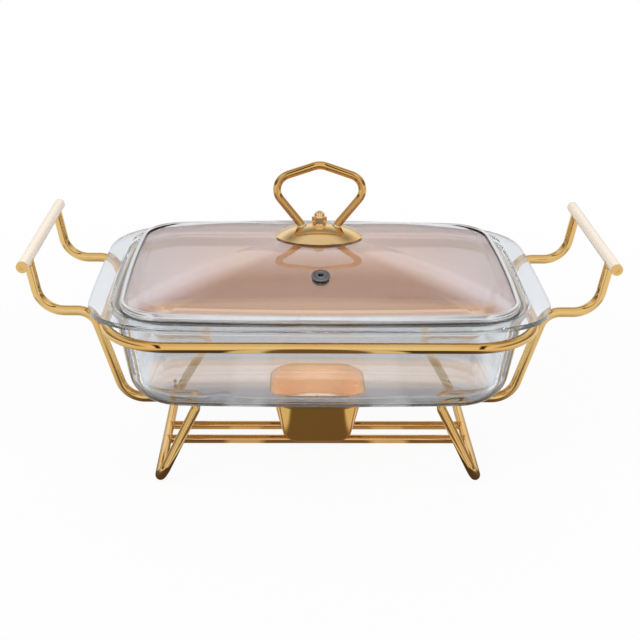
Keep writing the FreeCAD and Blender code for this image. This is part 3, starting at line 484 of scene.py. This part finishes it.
def closed_mesh(name, points, faces):
    """A mesh with its doubles merged and its faces turned outward."""
    mesh = plain_mesh(name, points, faces=faces)
    form = bmesh.new()
    form.from_mesh(mesh)
    bmesh.ops.remove_doubles(form, verts=form.verts, dist=1e-7)
    bmesh.ops.recalc_face_normals(form, faces=form.faces)
    form.to_mesh(mesh)
    form.free()
    return mesh


def finish_piece(name, mesh, material, body, stands_for=(), sharp=35.0):
    """A piece in the dish's own frame, with its finish, its body and what it replaces."""
    mesh.shade_smooth()
    mesh.set_sharp_from_angle(angle=math.radians(sharp))
    mesh.materials.clear()
    mesh.materials.append(material)
    item = new_object(name, mesh)
    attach(item, body)
    if stands_for:
        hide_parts(*stands_for)


def ring_faces(rows, columns):
    """Quads over a grid of points that closes on itself both ways."""
    corners = ((0, 0), (0, 1), (1, 1), (1, 0))
    return [[(row + down) % rows * columns + (column + along) % columns
             for down, along in corners] for row in range(rows) for column in range(columns)]


def bow_radius(half, bow):
    return (half ** 2 + bow ** 2) / (2 * bow)


def bowed_outline(rim, per_side=28, per_corner=14):
    """Points and outward directions round the lid's bowed outline."""
    side_radius = bow_radius(rim.half_width, rim.bow_x)
    end_radius = bow_radius(rim.half_length, rim.bow_y)
    side_x = rim.half_length + rim.bow_x - side_radius
    end_y = rim.half_width + rim.bow_y - end_radius
    reach_side, reach_end = side_radius - rim.corner, end_radius - rim.corner
    span = math.hypot(side_x, end_y)
    along = (reach_side ** 2 - reach_end ** 2 + span ** 2) / (2 * span)
    across = math.sqrt(reach_side ** 2 - along ** 2)
    step_x, step_y = -side_x / span, end_y / span
    corner_x = side_x + along * step_x - across * step_y
    corner_y = along * step_y + across * step_x
    side_turn = math.atan2(corner_y, corner_x - side_x)
    end_turn = math.atan2(corner_y - end_y, corner_x)
    quarter = [(Vector((x, y)), radius, start + (stop - start) * step / steps)
               for x, y, radius, start, stop, steps in (
                   (side_x, 0.0, side_radius, 0.0, side_turn, per_side),
                   (corner_x, corner_y, rim.corner, side_turn, end_turn, per_corner),
                   (0.0, end_y, end_radius, end_turn, math.pi / 2, per_side))
               for step in range(steps)]
    quarter.append((Vector((0.0, end_y)), end_radius, math.pi / 2))
    places = []
    for flip, run in (((1, 1), quarter[:-1]), ((-1, 1), quarter[:0:-1]),
                      ((-1, -1), quarter[:-1]), ((1, -1), quarter[:0:-1])):
        for centre, radius, angle in run:
            way = Vector((math.cos(angle), math.sin(angle))) * Vector(flip)
            places.append((centre * Vector(flip) + way * radius, way))
    return places


def arc_points(centre_x, centre_z, radius, start, stop, steps):
    return [(centre_x + radius * math.cos(math.radians(angle)),
             centre_z + radius * math.sin(math.radians(angle)))
            for angle in (start + (stop - start) * step / steps for step in range(steps + 1))]


def turned(profile, steps):
    """Points and faces of a closed profile of (radius, height) turned about Z."""
    points = []
    for step in range(steps):
        angle = 2 * math.pi * step / steps
        for radius, height in profile:
            points.append(Vector((radius * math.cos(angle), radius * math.sin(angle), height)))
    return points, ring_faces(steps, len(profile))


def metres(places):
    return [[MM * part for part in place] for place in places]


def bent_path(corners, radii):
    """Points along straight runs between the corners, with round bends at them."""
    corners = [Vector(corner) for corner in corners]
    points = [corners[0]]
    for before, corner, after, radius in zip(corners, corners[1:], corners[2:], radii):
        back, ahead = (before - corner).normalized(), (after - corner).normalized()
        half = back.angle(ahead) / 2
        middle = (back + ahead).normalized()
        centre = corner + middle * (radius / math.sin(half))
        start = corner + back * (radius / math.tan(half)) - centre
        bend = math.pi - 2 * half
        steps = max(6, round(math.degrees(bend) / 4))
        axis = ahead.cross(back)
        for step in range(steps + 1):
            points.append(centre + Matrix.Rotation(bend * step / steps, 3, axis) @ start)
    return points + [corners[-1]]


def edge_mesh(name, points, closed=False):
    edges = [(index, index + 1) for index in range(len(points) - 1)]
    if closed:
        edges.append((len(points) - 1, 0))
    return plain_mesh(name, points, edges)


# Geometry node trees

class Tree(Nodes):
    """A Geometry Nodes tree with named inputs, whole numbers or real ones."""

    def __init__(self, name, **sizes):
        self.group = bpy.data.node_groups.new(name, "GeometryNodeTree")
        super().__init__(self.group)
        interface, self.sockets = self.group.interface, {}
        for way in ("INPUT", "OUTPUT"):
            interface.new_socket("Geometry", in_out=way, socket_type="NodeSocketGeometry")
        for label, default in sizes.items():
            kind = "NodeSocketInt" if isinstance(default, int) else "NodeSocketFloat"
            socket = interface.new_socket(label.replace("_", " "), in_out="INPUT",
                                          socket_type=kind)
            socket.default_value = default
            self.sockets[label] = socket.identifier
        self.start = self.group.nodes.new("NodeGroupInput")
        self.end = self.group.nodes.new("NodeGroupOutput")
        self.given = (self.start, "Geometry")

    def attribute(self, name, kind="FLOAT"):
        node = self.add("GeometryNodeInputNamedAttribute", {"data_type": kind}, Name=name)
        return node, "Attribute"

    def sweep(self, path, radius, sides, **options):
        """A round section swept along a curve."""
        section = self.add("GeometryNodeCurvePrimitiveCircle", Resolution=sides,
                           Radius=radius)
        sweep = self.add("GeometryNodeCurveToMesh", Curve=(path, "Curve"),
                         Profile_Curve=(section, "Curve"), **options)
        return sweep, "Mesh"

    def push(self, geometry, way, distance):
        """Every point moved along its direction."""
        offset = self.add("ShaderNodeVectorMath", {"operation": "SCALE"}, Vector=way,
                          Scale=distance)
        move = self.add("GeometryNodeSetPosition", Geometry=geometry,
                        Offset=(offset, "Vector"))
        return move, "Geometry"

    def close(self, geometry, material):
        """End in Realize Instances and Set Material."""
        real = self.add("GeometryNodeRealizeInstances", Geometry=geometry)
        paint = self.add("GeometryNodeSetMaterial", Geometry=(real, "Geometry"),
                         Material=material)
        self.feed(self.end, {"Geometry": (paint, "Geometry")})
        return self

    def bake(self, name, mesh, **values):
        """Run the tree on a mesh and return the plain mesh that it makes."""
        item = new_object(f"{name}_source", mesh)
        modifier = item.modifiers.new(name, "NODES")
        modifier.node_group = self.group
        for label, value in values.items():
            modifier[self.sockets[label]] = value
        bpy.context.view_layer.update()
        depsgraph = bpy.context.evaluated_depsgraph_get()
        result = bpy.data.meshes.new_from_object(item.evaluated_get(depsgraph))
        result.name = name
        item.modifiers.clear()
        bpy.data.objects.remove(item)
        return result


def rod_tree(material):
    """A round rod along a path, pressed flat where it would pass the table."""
    tree = Tree("bent_rod", Diameter=0.008, Sides=40)
    path = tree.add("GeometryNodeMeshToCurve", Mesh=tree.given)
    rod = tree.sweep(path, tree.product((tree.start, "Diameter"), 0.5),
                     (tree.start, "Sides"), Fill_Caps=True)
    x, y, z = tree.axes((tree.add("GeometryNodeInputPosition"), "Position"))
    flat = tree.add("ShaderNodeCombineXYZ", None, x, y, tree.math("MAXIMUM", z, 0.0))
    move = tree.add("GeometryNodeSetPosition", Geometry=rod, Position=(flat, "Vector"))
    return tree.close((move, "Geometry"), material)


def bend_rod(name, mesh, diameter, sides, material, body, stands_for):
    rod = rod_tree(material).bake(name, mesh, Diameter=diameter, Sides=sides)
    finish_piece(name, rod, material, body, (stands_for,), 50.0)


def bead_tree(material):
    """A wavy ring of weld on every point, square to the point's axis."""
    tree = Tree("weld_beads", Bead_Share=0.24, Ripple=0.0003, Seed=7)
    ring = tree.add("GeometryNodeCurvePrimitiveCircle", Resolution=36, Radius=1.0)
    bead = tree.sweep(ring, (tree.start, "Bead Share"), 10)
    align = tree.add("FunctionNodeAlignRotationToVector", {"axis": "Z"},
                     Vector=tree.attribute("axis", "FLOAT_VECTOR"))
    spots = tree.add("GeometryNodeInstanceOnPoints", Points=tree.given, Instance=bead,
                     Rotation=(align, "Rotation"), Scale=tree.attribute("radius"))
    real = tree.add("GeometryNodeRealizeInstances", Geometry=(spots, "Instances"))
    noise = tree.add("ShaderNodeTexNoise", {"noise_dimensions": "4D"},
                     W=(tree.start, "Seed"), Scale=420.0, Detail=1.0)
    lift = tree.product(tree.math("SUBTRACT", (noise, "Fac"), 0.5),
                        (tree.start, "Ripple"))
    normal = (tree.add("GeometryNodeInputNormal"), "Normal")
    return tree.close(tree.push((real, "Geometry"), normal, lift), material)


def flute_tree(material):
    """Pressed flutes round a turned tin, fading out towards its foot and rim."""
    tree = Tree("tin_flutes", Flutes=48, Flute_Depth=0.0002, Low=0.009, High=0.021)
    x, y, z = tree.axes((tree.add("GeometryNodeInputPosition"), "Position"))
    angle = tree.math("ARCTAN2", y, x)
    wave = tree.math("COSINE", tree.product(angle, (tree.start, "Flutes")))
    ends = [tree.fade(z, (tree.start, edge), tree.math(way, (tree.start, edge), FLUTE_FADE))
            for edge, way in (("Low", "ADD"), ("High", "SUBTRACT"))]
    depth = tree.product(*ends, wave, (tree.start, "Flute Depth"))
    flat = tree.add("ShaderNodeCombineXYZ", None, x, y)
    outward = tree.add("ShaderNodeVectorMath", {"operation": "NORMALIZE"}, (flat, "Vector"))
    return tree.close(tree.push(tree.given, (outward, "Vector"), depth), material)


def wick_tree(material):
    """Strands that wind round each other, one on each point's turn."""
    tree = Tree("wick_strands", Strand_Diameter=0.0009, Twists=5.0, Height=0.018)
    radius = tree.product((tree.start, "Strand Diameter"), 0.5)
    spiral = tree.add("GeometryNodeCurveSpiral", Resolution=20,
                      Rotations=(tree.start, "Twists"), Height=(tree.start, "Height"),
                      Start_Radius=radius, End_Radius=radius)
    strand = tree.sweep(spiral, radius, 10, Fill_Caps=True)
    around = tree.add("ShaderNodeCombineXYZ", Z=tree.attribute("turn"))
    spots = tree.add("GeometryNodeInstanceOnPoints", Points=tree.given, Instance=strand,
                     Rotation=(around, "Vector"))
    return tree.close((spots, "Instances"), material)


def point_mesh(name, places, **attributes):
    """A mesh of loose points that carry named values."""
    mesh = plain_mesh(name, places)
    for label, values in attributes.items():
        vector = isinstance(values[0], (tuple, list, Vector))
        layer = mesh.attributes.new(label, "FLOAT_VECTOR" if vector else "FLOAT", "POINT")
        for entry, value in zip(layer.data, values):
            if vector:
                entry.vector = value
            else:
                entry.value = value
    return mesh


# Operators

class PieceOperator:
    """What the operators share: undo, and the settings."""
    bl_options = {"REGISTER", "UNDO"}

    @property
    def settings(self):
        return bpy.context.scene.chafing_dish


class CHAFING_OT_stand(PieceOperator, Operator):
    """Plate the bent rods, the ring, the cross rods, the grips and the candle cup"""
    bl_idname = "chafing.stand"
    bl_label = "Finish the stand"

    def execute(self, context):
        metal, sizes = self.settings.metal, self.settings.rods
        rods = plated("rod_gold", metal.rod_gold, metal.deep_gold, metal.rod_roughness)
        # Cross rods get a darker copy of the rod gold: painted shade under the dish
        low_rods = plated("cross_rod_gold", metal.cross_painted_shade, metal.deep_gold,
                          metal.rod_roughness)
        dress(low_rods, "front_cross_rod", "rear_cross_rod")
        bends = [sizes.elbow, sizes.shoulder, sizes.saddle, sizes.leg_top, sizes.foot]
        for name, side in (("left", -1), ("right", 1)):
            corners = [(side * x, -y, z) for x, y, z in FRAME_CORNERS]
            corners += [(side * x, y, z) for x, y, z in reversed(FRAME_CORNERS)]
            path = bent_path(metres(corners), bends + bends[::-1])
            bend_rod(f"{name}_bent_frame", edge_mesh(f"{name}_path", path), sizes.rod,
                     sizes.sides, rods, "stand", f"{name}_side_frame")
        low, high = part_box("support_ring")
        across, along = high.x - sizes.ring / 2, high.y - sizes.ring / 2
        level = (low.z + high.z) / 2
        turns = [(x, y, level) for x, y in ((across, along), (-across, along),
                                            (-across, -along), (across, -along))]
        start = (across, 0.0, level)
        path = bent_path([start, *turns, start], [sizes.ring_corner] * 4)[:-1]
        bend_rod("bent_ring", edge_mesh("ring_path", path, True), sizes.ring, sizes.sides,
                 rods, "stand", "support_ring")
        # Pale cream on the grips: painted highlight over their gold
        grips = lacquered("grip_painted_highlight", metal.grip_painted_highlight, metal.rod_gold)
        dress(grips, "left_grip", "right_grip")
        plugs = plated("plug_gold", metal.rod_gold, metal.deep_gold, 0.24)
        dress(plugs, *(f"{side}_{end}_plug" for side in ("left", "right")
                       for end in ("front", "rear")))
        dress(lined_cup("cup_gold", metal), "candle_cup")
        return {"FINISHED"}


class CHAFING_OT_welds(PieceOperator, Operator):
    """Lay a bead of weld where rods meet"""
    bl_idname = "chafing.welds"
    bl_label = "Weld the rods"

    def execute(self, context):
        metal = self.settings.metal
        stand, knob = [], []
        for side in (-1, 1):
            for end in (-1, 1):
                stand.append(((side * 221.3, end * 60.0, 179.0), (side * 0.14, 0.0, 1.0), 3.75))
                stand.append(((side * 123.8, end * 12.5, 4.7), (1.0, 0.0, 0.0), 3.5))
            knob.append(((side * 14.0, 0.0, 191.7), (side * 0.35, 0.0, 0.93), 3.3))
        gold = plated("weld_gold", metal.rod_gold, metal.deep_gold, 0.26)
        silver = plated("weld_silver", metal.weld_silver, metal.steel, 0.25)
        self.lay("stand_welds", stand, gold, "stand", "gold_rod")
        self.lay("loop_welds", knob, silver, "lid", "gold_wire")
        return {"FINISHED"}

    def lay(self, name, beads, material, body, slot):
        """Beads given as (place, axis, radius), places and radii in millimetres."""
        weld = self.settings.weld
        places, axes, radii = zip(*beads)
        mesh = point_mesh(f"{name}_places", metres(places), axis=axes,
                          radius=[radius * MM for radius in radii])
        laid = bead_tree(material).bake(name, mesh, Bead_Share=weld.bead_share,
                                        Ripple=weld.ripple, Seed=weld.seed)
        finish_piece(name, laid, material, body, sharp=60.0)


class CHAFING_OT_candle(PieceOperator, Operator):
    """Press the tealight's tin, and give its wax and wick their finish"""
    bl_idname = "chafing.candle"
    bl_label = "Make the tealight"

    def execute(self, context):
        sizes = self.settings.candle
        material = rolled_steel("tin_sheet", (0.86, 0.86, 0.87), 0.22, (1.0, 1.0, 4.0))
        self.press_tin(sizes, material)
        fibre = cotton("wick_cotton")
        self.braid_wick(sizes, fibre)
        dress(candle_wax("candle_wax"), "tealight_wax")
        dress(material, "wick_sustainer")
        return {"FINISHED"}

    def press_tin(self, sizes, material):
        low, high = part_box("tealight_tin")
        roll = sizes.rim_roll
        wall, top, inner = high.x - roll, high.z - roll, high.x - roll - TIN_GAUGE
        bend = (high.x - TIN_FOOT - roll, low.z + TIN_FOOT)
        levels = [low.z + (top - low.z) * step / 16 for step in range(3, 16)]
        profile = [(0.0, low.z + TIN_GAUGE), (0.0, low.z)]
        profile += arc_points(*bend, TIN_FOOT, -90, 0, 8)
        profile += [(wall, level) for level in levels]
        profile += arc_points(wall, top, roll, 0, 180, 10)
        profile += [(inner, level) for level in reversed(levels)]
        profile += arc_points(*bend, TIN_FOOT - TIN_GAUGE, 0, -90, 6)
        mesh = closed_mesh("tin_turned", *turned(profile, 6 * sizes.flutes))
        tin = flute_tree(material).bake(
            "fluted_tin", mesh, Flutes=sizes.flutes, Flute_Depth=sizes.flute_depth,
            Low=low.z + 1.5 * MM, High=high.z - 1.2 * MM)
        finish_piece("fluted_tin", tin, material, "tealight", ("tealight_tin",), 60.0)

    def braid_wick(self, sizes, fibre):
        low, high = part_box("tealight_wick")
        turns = [2 * math.pi * number / sizes.strands for number in range(sizes.strands)]
        starts = point_mesh("wick_starts", [(0.0, 0.0, low.z)] * sizes.strands, turn=turns)
        strands = wick_tree(fibre).bake(
            "braided_wick", starts, Strand_Diameter=sizes.strand_diameter,
            Twists=sizes.twists, Height=high.z - low.z)
        finish_piece("braided_wick", strands, fibre, "tealight",
                     ("tealight_wick",), 60.0)


class CHAFING_OT_dish(PieceOperator, Operator):
    """Give the baking dish its pressed clear glass"""
    bl_idname = "chafing.dish"
    bl_label = "Finish the dish"

    def execute(self, context):
        glass = self.settings.glass
        finish = pressed_glass("dish_glass_finish", glass.dish_tint, glass.dish_bend,
                               glass.ripple, 0.05, Coat_Weight=1.0,
                               Coat_IOR=glass.refraction, Alpha=glass.dish_body)
        depth = finish.add("ShaderNodeVolumeAbsorption", Color=glass.body_tone,
                           Density=glass.body_depth)
        finish.feed(finish.output, {"Volume": (depth, "Volume")})
        dress(finish.material, "glass_dish")
        return {"FINISHED"}


class CHAFING_OT_lid(PieceOperator, Operator):
    """Give the lid its rose tint, with painted reflection towards its ends and rear and a
    painted highlight along its front shoulder
    """
    bl_idname = "chafing.lid"
    bl_label = "Finish the lid's glass"

    def execute(self, context):
        glass = self.settings.glass
        finish = pressed_glass("lid_glass_finish", glass.lid_tint, glass.refraction,
                               glass.ripple / 3, 0.015, Metallic=glass.lid_mirror,
                               Coat_Weight=1.0, Coat_IOR=glass.lid_gloss)
        x, y, _ = finish.axes((finish.place, "Object"))
        aside = finish.math("ABSOLUTE", x)
        # Towards the ends and rear the tint turns paler mauve: painted reflection
        outer = finish.math("MAXIMUM", finish.fade(aside, 0.06, 0.15),
                            finish.fade(y, -0.01, 0.09))
        # A lighter strip along the front shoulder: painted highlight
        painted_highlight_strip = finish.product(finish.fade(y, -0.0895, -0.0930),
                               finish.fade(aside, 0.145, 0.115))
        film = finish.tones(painted_highlight_strip, finish.tones(outer, glass.lid_tint, glass.lid_painted_reflection),
                            glass.lid_painted_highlight)
        finish.feed(finish.shader, {"Base Color": film})
        dress(finish.material, "lid_glass")
        return {"FINISHED"}


class CHAFING_OT_band(PieceOperator, Operator):
    """Roll the steel channel round the lid's edge, with its butt seam at the front"""
    bl_idname = "chafing.band"
    bl_label = "Roll the lid's band"

    def execute(self, context):
        rim, metal = self.settings.rim, self.settings.metal
        material = brushed_steel("band_steel", metal.steel, metal.band_roughness)
        places = self.with_seam(bowed_outline(rim), rim)
        wide, tall = rim.reach / (1 - math.cos(rim.wrap)), rim.height / 2
        middle, wrap = rim.base + tall, math.degrees(rim.wrap)
        section = []
        for inset, start, stop, steps in ((0.0, wrap, -wrap, 40), (rim.gauge, -wrap, wrap, 30)):
            section += [((wide - inset) * x - wide, middle + (tall - inset) * z)
                        for x, z in arc_points(0.0, 0.0, 1.0, start, stop, steps)]
        points = []
        for place, way in places:
            for reach, height in section:
                spot = place + way * reach
                points.append(Vector((spot.x, spot.y, height)))
        mesh = closed_mesh("rim_band", points, ring_faces(len(places), len(section)))
        finish_piece("rim_band", mesh, material, "lid", ("lid_rim_band",))
        return {"FINISHED"}

    def with_seam(self, places, rim):
        """A narrow groove across the band where its two ends meet at the front."""
        radius = bow_radius(rim.half_length, rim.bow_y)
        centre = radius - rim.half_width - rim.bow_y
        half = rim.seam_width / 2
        row = next(index for index, (place, _) in enumerate(places)
                   if place.y < 0 and abs(place.x) < 0.1 and place.x > rim.seam_place)
        groove = []
        for step, depth in ((-2.0, 0.0), (-1.0, 0.0), (-0.6, 0.4), (0.6, 0.4), (1.0, 0.0),
                            (2.0, 0.0)):
            x = rim.seam_place + step * half
            reach = math.sqrt(radius ** 2 - x ** 2)
            way = Vector((x / radius, -reach / radius))
            groove.append((Vector((x, centre - reach)) - way * depth * rim.gauge, way))
        return places[:row] + groove + places[row:]


class CHAFING_OT_vent(PieceOperator, Operator):
    """Turn the vent's eyelet, with a rolled flange and a ringed face"""
    bl_idname = "chafing.vent"
    bl_label = "Turn the steam vent"

    def execute(self, context):
        sizes, metal = self.settings.vent, self.settings.metal
        material = rolled_steel("vent_steel", metal.dark_steel, 0.24, (1.0, 1.0, 1.0))
        flange, bore, gauge = sizes.flange / 2, sizes.bore / 2, sizes.gauge
        base = Vector((0.0, -sizes.setback - math.sin(sizes.slope) * VENT_SEAT, sizes.base))
        matrix = Matrix.Translation(base) @ Matrix.Rotation(sizes.slope, 4, "X")
        profile = [(bore, -VENT_DEPTH), (VENT_BARREL, -VENT_DEPTH), (VENT_BARREL, 0.0)]
        profile += arc_points(flange - 0.5 * MM, 0.5 * MM, 0.5 * MM, -90, 0, 5)
        profile += arc_points(flange - 0.8 * MM, gauge - 0.8 * MM, 0.8 * MM, 0, 90, 6)
        profile += arc_points(4.9 * MM, gauge - 0.05 * MM, 0.35 * MM, 0, -180, 6)
        profile += arc_points(3.6 * MM, gauge, 0.55 * MM, 0, 180, 6)
        profile += arc_points(bore + 0.5 * MM, gauge - 0.5 * MM, 0.5 * MM, 90, 180, 5)
        points, faces = turned(profile, 64)
        mesh = closed_mesh("vent_turned", [matrix @ point for point in points], faces)
        finish_piece("vent_turned", mesh, material, "lid", ("vent_eyelet",))
        dress(material, "vent_back_ring")
        return {"FINISHED"}


class CHAFING_OT_knob(PieceOperator, Operator):
    """Plate the knob's plate, its wire loop, its acorn nut and washer"""
    bl_idname = "chafing.knob"
    bl_label = "Make the knob"

    def execute(self, context):
        metal, rods = self.settings.metal, self.settings.rods
        plate = plated("knob_gold", metal.knob_gold, metal.deep_gold, metal.plate_roughness)
        dress(plate, "knob_plate")
        # The loop gets a darker copy of the rods' gold: painted shade
        wire = plated("loop_painted_shade", metal.loop_painted_shade, metal.deep_gold, metal.rod_roughness)
        corners = [(-x, y, z) for x, y, z in LOOP_CORNERS]
        corners += [LOOP_PEAK, *reversed(LOOP_CORNERS)]
        path = bent_path(metres(corners),
                         [rods.loop_shoulder, rods.loop_apex, rods.loop_shoulder])
        bend_rod("bent_loop", edge_mesh("loop_path", path), rods.wire, rods.sides, wire,
                 "lid", "loop_handle")
        dress(silicone("clear_gasket"), "knob_gasket")
        dress(rolled_steel("zinc_steel", (0.72, 0.73, 0.75), 0.28), "lower_washer",
              "knob_screw")
        dress(plated("nut_gold", metal.nut_gold, metal.knob_gold, 0.12), "nut_washer",
              "cap_nut")
        return {"FINISHED"}


class CHAFING_OT_stage(PieceOperator, Operator):
    """Set the camera, the pale floor, the lamps and the even light"""
    bl_idname = "chafing.stage"
    bl_label = "Set the stage"

    def execute(self, context):
        stage = self.settings.stage
        self.set_camera(stage)
        self.lay_floor(stage)
        self.light_world(stage)
        for name, place, height, size, strength, tone in (
                ("key", (-0.75, -0.75, 1.05), 0.1, (0.8, 0.5), stage.key_power,
                 (1.0, 0.99, 0.97)),
                ("fill", (0.95, -0.65, 0.75), 0.1, (0.5, 0.8), stage.fill_power,
                 (0.98, 0.99, 1.0)),
                ("back", (0.1, 0.95, 0.95), 0.1, (1.2, 0.4), stage.back_power,
                 (1.0, 1.0, 1.0)),
                ("cup_fill", (0.0, 0.0, 0.062), 0.0, (0.05, 0.05), stage.cup_power,
                 (1.0, 0.80, 0.58))):
            self.aim_lamp(name, place, height, size, strength, tone)
        bpy.context.scene.view_settings.view_transform = "Standard"
        return {"FINISHED"}

    def aim_lamp(self, name, place, height, size, strength, tone):
        """A soft lamp that points at a height over the dish's middle."""
        data = bpy.data.lights.new(name, "AREA")
        data.shape = "RECTANGLE"
        data.size, data.size_y = size
        data.energy, data.color = strength, tone
        lamp = new_object(name, data)
        lamp.location = place
        way = Vector((0.0, 0.0, height)) - lamp.location
        lamp.rotation_euler = way.to_track_quat("-Z", "Y").to_euler()
        lamp.visible_glossy = lamp.visible_transmission = False

    def set_camera(self, stage):
        data = bpy.data.cameras.new("camera")
        data.lens = stage.lens
        data.sensor_width = 36.0
        data.clip_start, data.clip_end = 0.01, 100.0
        camera = new_object("camera", data)
        camera.matrix_world = (Matrix.Translation(stage.camera_place)
                               @ Matrix.Rotation(-stage.yaw, 4, "Z")
                               @ Matrix.Rotation(math.pi / 2 - stage.pitch, 4, "X")
                               @ Matrix.Rotation(stage.roll, 4, "Z"))
        bpy.context.scene.camera = camera

    def warmed(self, nodes, level):
        """Bright parts of the studio are white, and the deeper ones turn to warm brown."""
        parts = [nodes.product(nodes.math("POWER", level, depth), gain)
                 for depth, gain in ((1.0, 0.96), (1.15, 0.98), (1.3, 1.03))]
        return nodes.add("ShaderNodeCombineColor", None, *parts), "Color"

    def lay_floor(self, stage):
        """A pale floor that keeps the shadow, with painted shade and light in what glass and
        metal see of it.
        """
        corners = [(x * FLOOR_REACH, y * FLOOR_REACH, 0)
                   for x, y in ((-1, -1), (1, -1), (1, 1), (-1, 1))]
        mesh = plain_mesh("floor", corners, faces=[(0, 1, 2, 3)])
        floor = new_object("floor", mesh)
        material = bpy.data.materials.new("pale_floor")
        material.use_nodes = True
        nodes = Nodes(material.node_tree)
        path = nodes.add("ShaderNodeLightPath")
        place = (nodes.add("ShaderNodeTexCoord"), "Object")
        x, y, _ = nodes.axes(place)
        aside = nodes.math("ABSOLUTE", x)
        away = (nodes.add("ShaderNodeVectorMath", {"operation": "LENGTH"}, place), "Value")

        matt = nodes.add("ShaderNodeBsdfDiffuse", Color=stage.floor_colour)
        white = nodes.add("ShaderNodeEmission")
        shown = nodes.fade(away, 0.35, 0.8, stage.floor_glow, 1.0)
        plain = nodes.mixed(nodes.product((path, "Is Camera Ray"), shown), matt, white)

        # What glass sees of the floor is painted: shadow under the stand, a pool of the lid's
        # rosy light, shade behind, pale further off
        shaded = nodes.colours(y, (
            (0.085, stage.floor_painted_shadow), (0.108, stage.floor_painted_rosy_light), (0.148, stage.floor_painted_rosy_light),
            (0.165, stage.floor_shade), (0.22, stage.floor_shade), (0.36, stage.floor_pale)))
        seen = nodes.add("ShaderNodeEmission", Color=nodes.tones(
            nodes.fade(aside, 0.16, 0.24), shaded, stage.floor_pale))

        # What metal sees of the floor is painted: strips of light and shade across it, dark
        # near the stand as its shadow, lighter behind and further off
        painted_strips = nodes.ramp(aside, (
            (0.0, 0.18), (0.042, 0.18), (0.050, 0.80), (0.074, 0.80), (0.082, 0.08),
            (0.13, 0.10), (0.17, 0.20), (0.20, 0.50), (0.28, 0.90), (0.34, 0.80),
            (0.40, 0.55), (0.60, 0.95)))
        behind = nodes.fade(y, -0.05, 0.02, 0.0, 0.60)
        around = nodes.product(nodes.fade(away, 0.36, 0.45, 0.0, 0.92),
                               nodes.fade(aside, 0.05, 0.11, 0.20, 1.0))
        level = nodes.math("MAXIMUM", painted_strips, behind, around)
        mirrored = nodes.add("ShaderNodeEmission", Color=self.warmed(nodes, level))

        bent = nodes.mixed((path, "Is Transmission Ray"), mirrored, seen)
        look = nodes.mixed((path, "Is Glossy Ray"), plain, bent)
        nodes.add("ShaderNodeOutputMaterial", Surface=(look, "Shader"))
        mesh.materials.append(material)

    def light_world(self, stage):
        """White to look at, even on the object, and a studio of soft walls in the metal."""
        world = bpy.data.worlds.new("studio")
        bpy.context.scene.world = world
        world.use_nodes = True
        nodes = Nodes(world.node_tree)
        path = nodes.add("ShaderNodeLightPath")
        x, y, z = nodes.axes((nodes.add("ShaderNodeTexCoord"), "Generated"))
        across = nodes.math("ABSOLUTE", x)
        front = nodes.ramp(z, ((0.0, 0.85), (0.15, 0.95), (0.45, 1.0), (0.72, 0.88),
                               (1.0, 0.80)))
        back = nodes.ramp(z, ((0.0, 0.50), (0.20, 0.70), (0.42, 1.0), (0.56, 0.97),
                              (0.70, 0.62), (0.82, 0.32), (0.89, 0.42), (0.96, 0.75),
                              (1.0, 0.88)))
        sides = nodes.ramp(z, ((0.0, 0.25), (0.20, 0.20), (0.42, 0.65), (0.70, 0.85),
                               (1.0, 0.85)))
        room = nodes.blend(nodes.fade(y, -0.3, 0.3), front, back)
        room = nodes.blend(nodes.fade(across, 0.50, 0.85), room, sides)
        flags = nodes.ramp(across, ((0.0, 1.0), (0.24, 1.0), (0.27, 0.06), (0.36, 0.06),
                                    (0.40, 1.0), (1.0, 1.0)))
        ahead = nodes.fade(y, -0.35, -0.20)
        room = nodes.product(room, nodes.math("MAXIMUM", flags, ahead))
        mirrored = nodes.add("ShaderNodeBackground", Color=self.warmed(nodes, room))
        even = nodes.add("ShaderNodeBackground", Color=(1.0, 1.0, 1.0),
                         Strength=stage.ambient)
        white = nodes.add("ShaderNodeBackground", Color=(1.0, 1.0, 1.0))
        lit = nodes.mixed((path, "Is Glossy Ray"), even, mirrored)
        through = nodes.product((path, "Is Transmission Ray"),
                                nodes.fade(z, 0.10, 0.25, 1.0, 0.0))
        look = nodes.mixed(nodes.math("MAXIMUM", (path, "Is Camera Ray"), through), lit,
                           white)
        nodes.add("ShaderNodeOutputWorld", Surface=(look, "Shader"))


STEPS = (CHAFING_OT_stand, CHAFING_OT_welds, CHAFING_OT_candle, CHAFING_OT_dish,
         CHAFING_OT_lid, CHAFING_OT_band, CHAFING_OT_vent, CHAFING_OT_knob,
         CHAFING_OT_stage)
CLASSES = (*GROUPS.values(), ChafingDishSettings, *STEPS)


class CHAFING_PT_panel(bpy.types.Panel):
    """Values and steps of the chafing dish"""
    bl_label = "Chafing dish"
    bl_idname = "CHAFING_PT_panel"
    bl_space_type = "VIEW_3D"
    bl_region_type = "UI"
    bl_category = "Chafing dish"

    def draw(self, context):
        settings = context.scene.chafing_dish
        for label in GROUPS:
            group = getattr(settings, label)
            box = self.layout.box()
            box.label(text=label.capitalize())
            for name in group.__annotations__:
                box.prop(group, name)
        for step in STEPS:
            self.layout.operator(step.bl_idname)


def register():
    for item in (*CLASSES, CHAFING_PT_panel):
        bpy.utils.register_class(item)
    bpy.types.Scene.chafing_dish = PointerProperty(type=ChafingDishSettings)


def unregister():
    del bpy.types.Scene.chafing_dish
    for item in reversed((*CLASSES, CHAFING_PT_panel)):
        bpy.utils.unregister_class(item)


def main():
    register()
    for step in STEPS:
        getattr(bpy.ops.chafing, step.bl_idname.split(".")[1])()


if __name__ == "__main__":
    main()
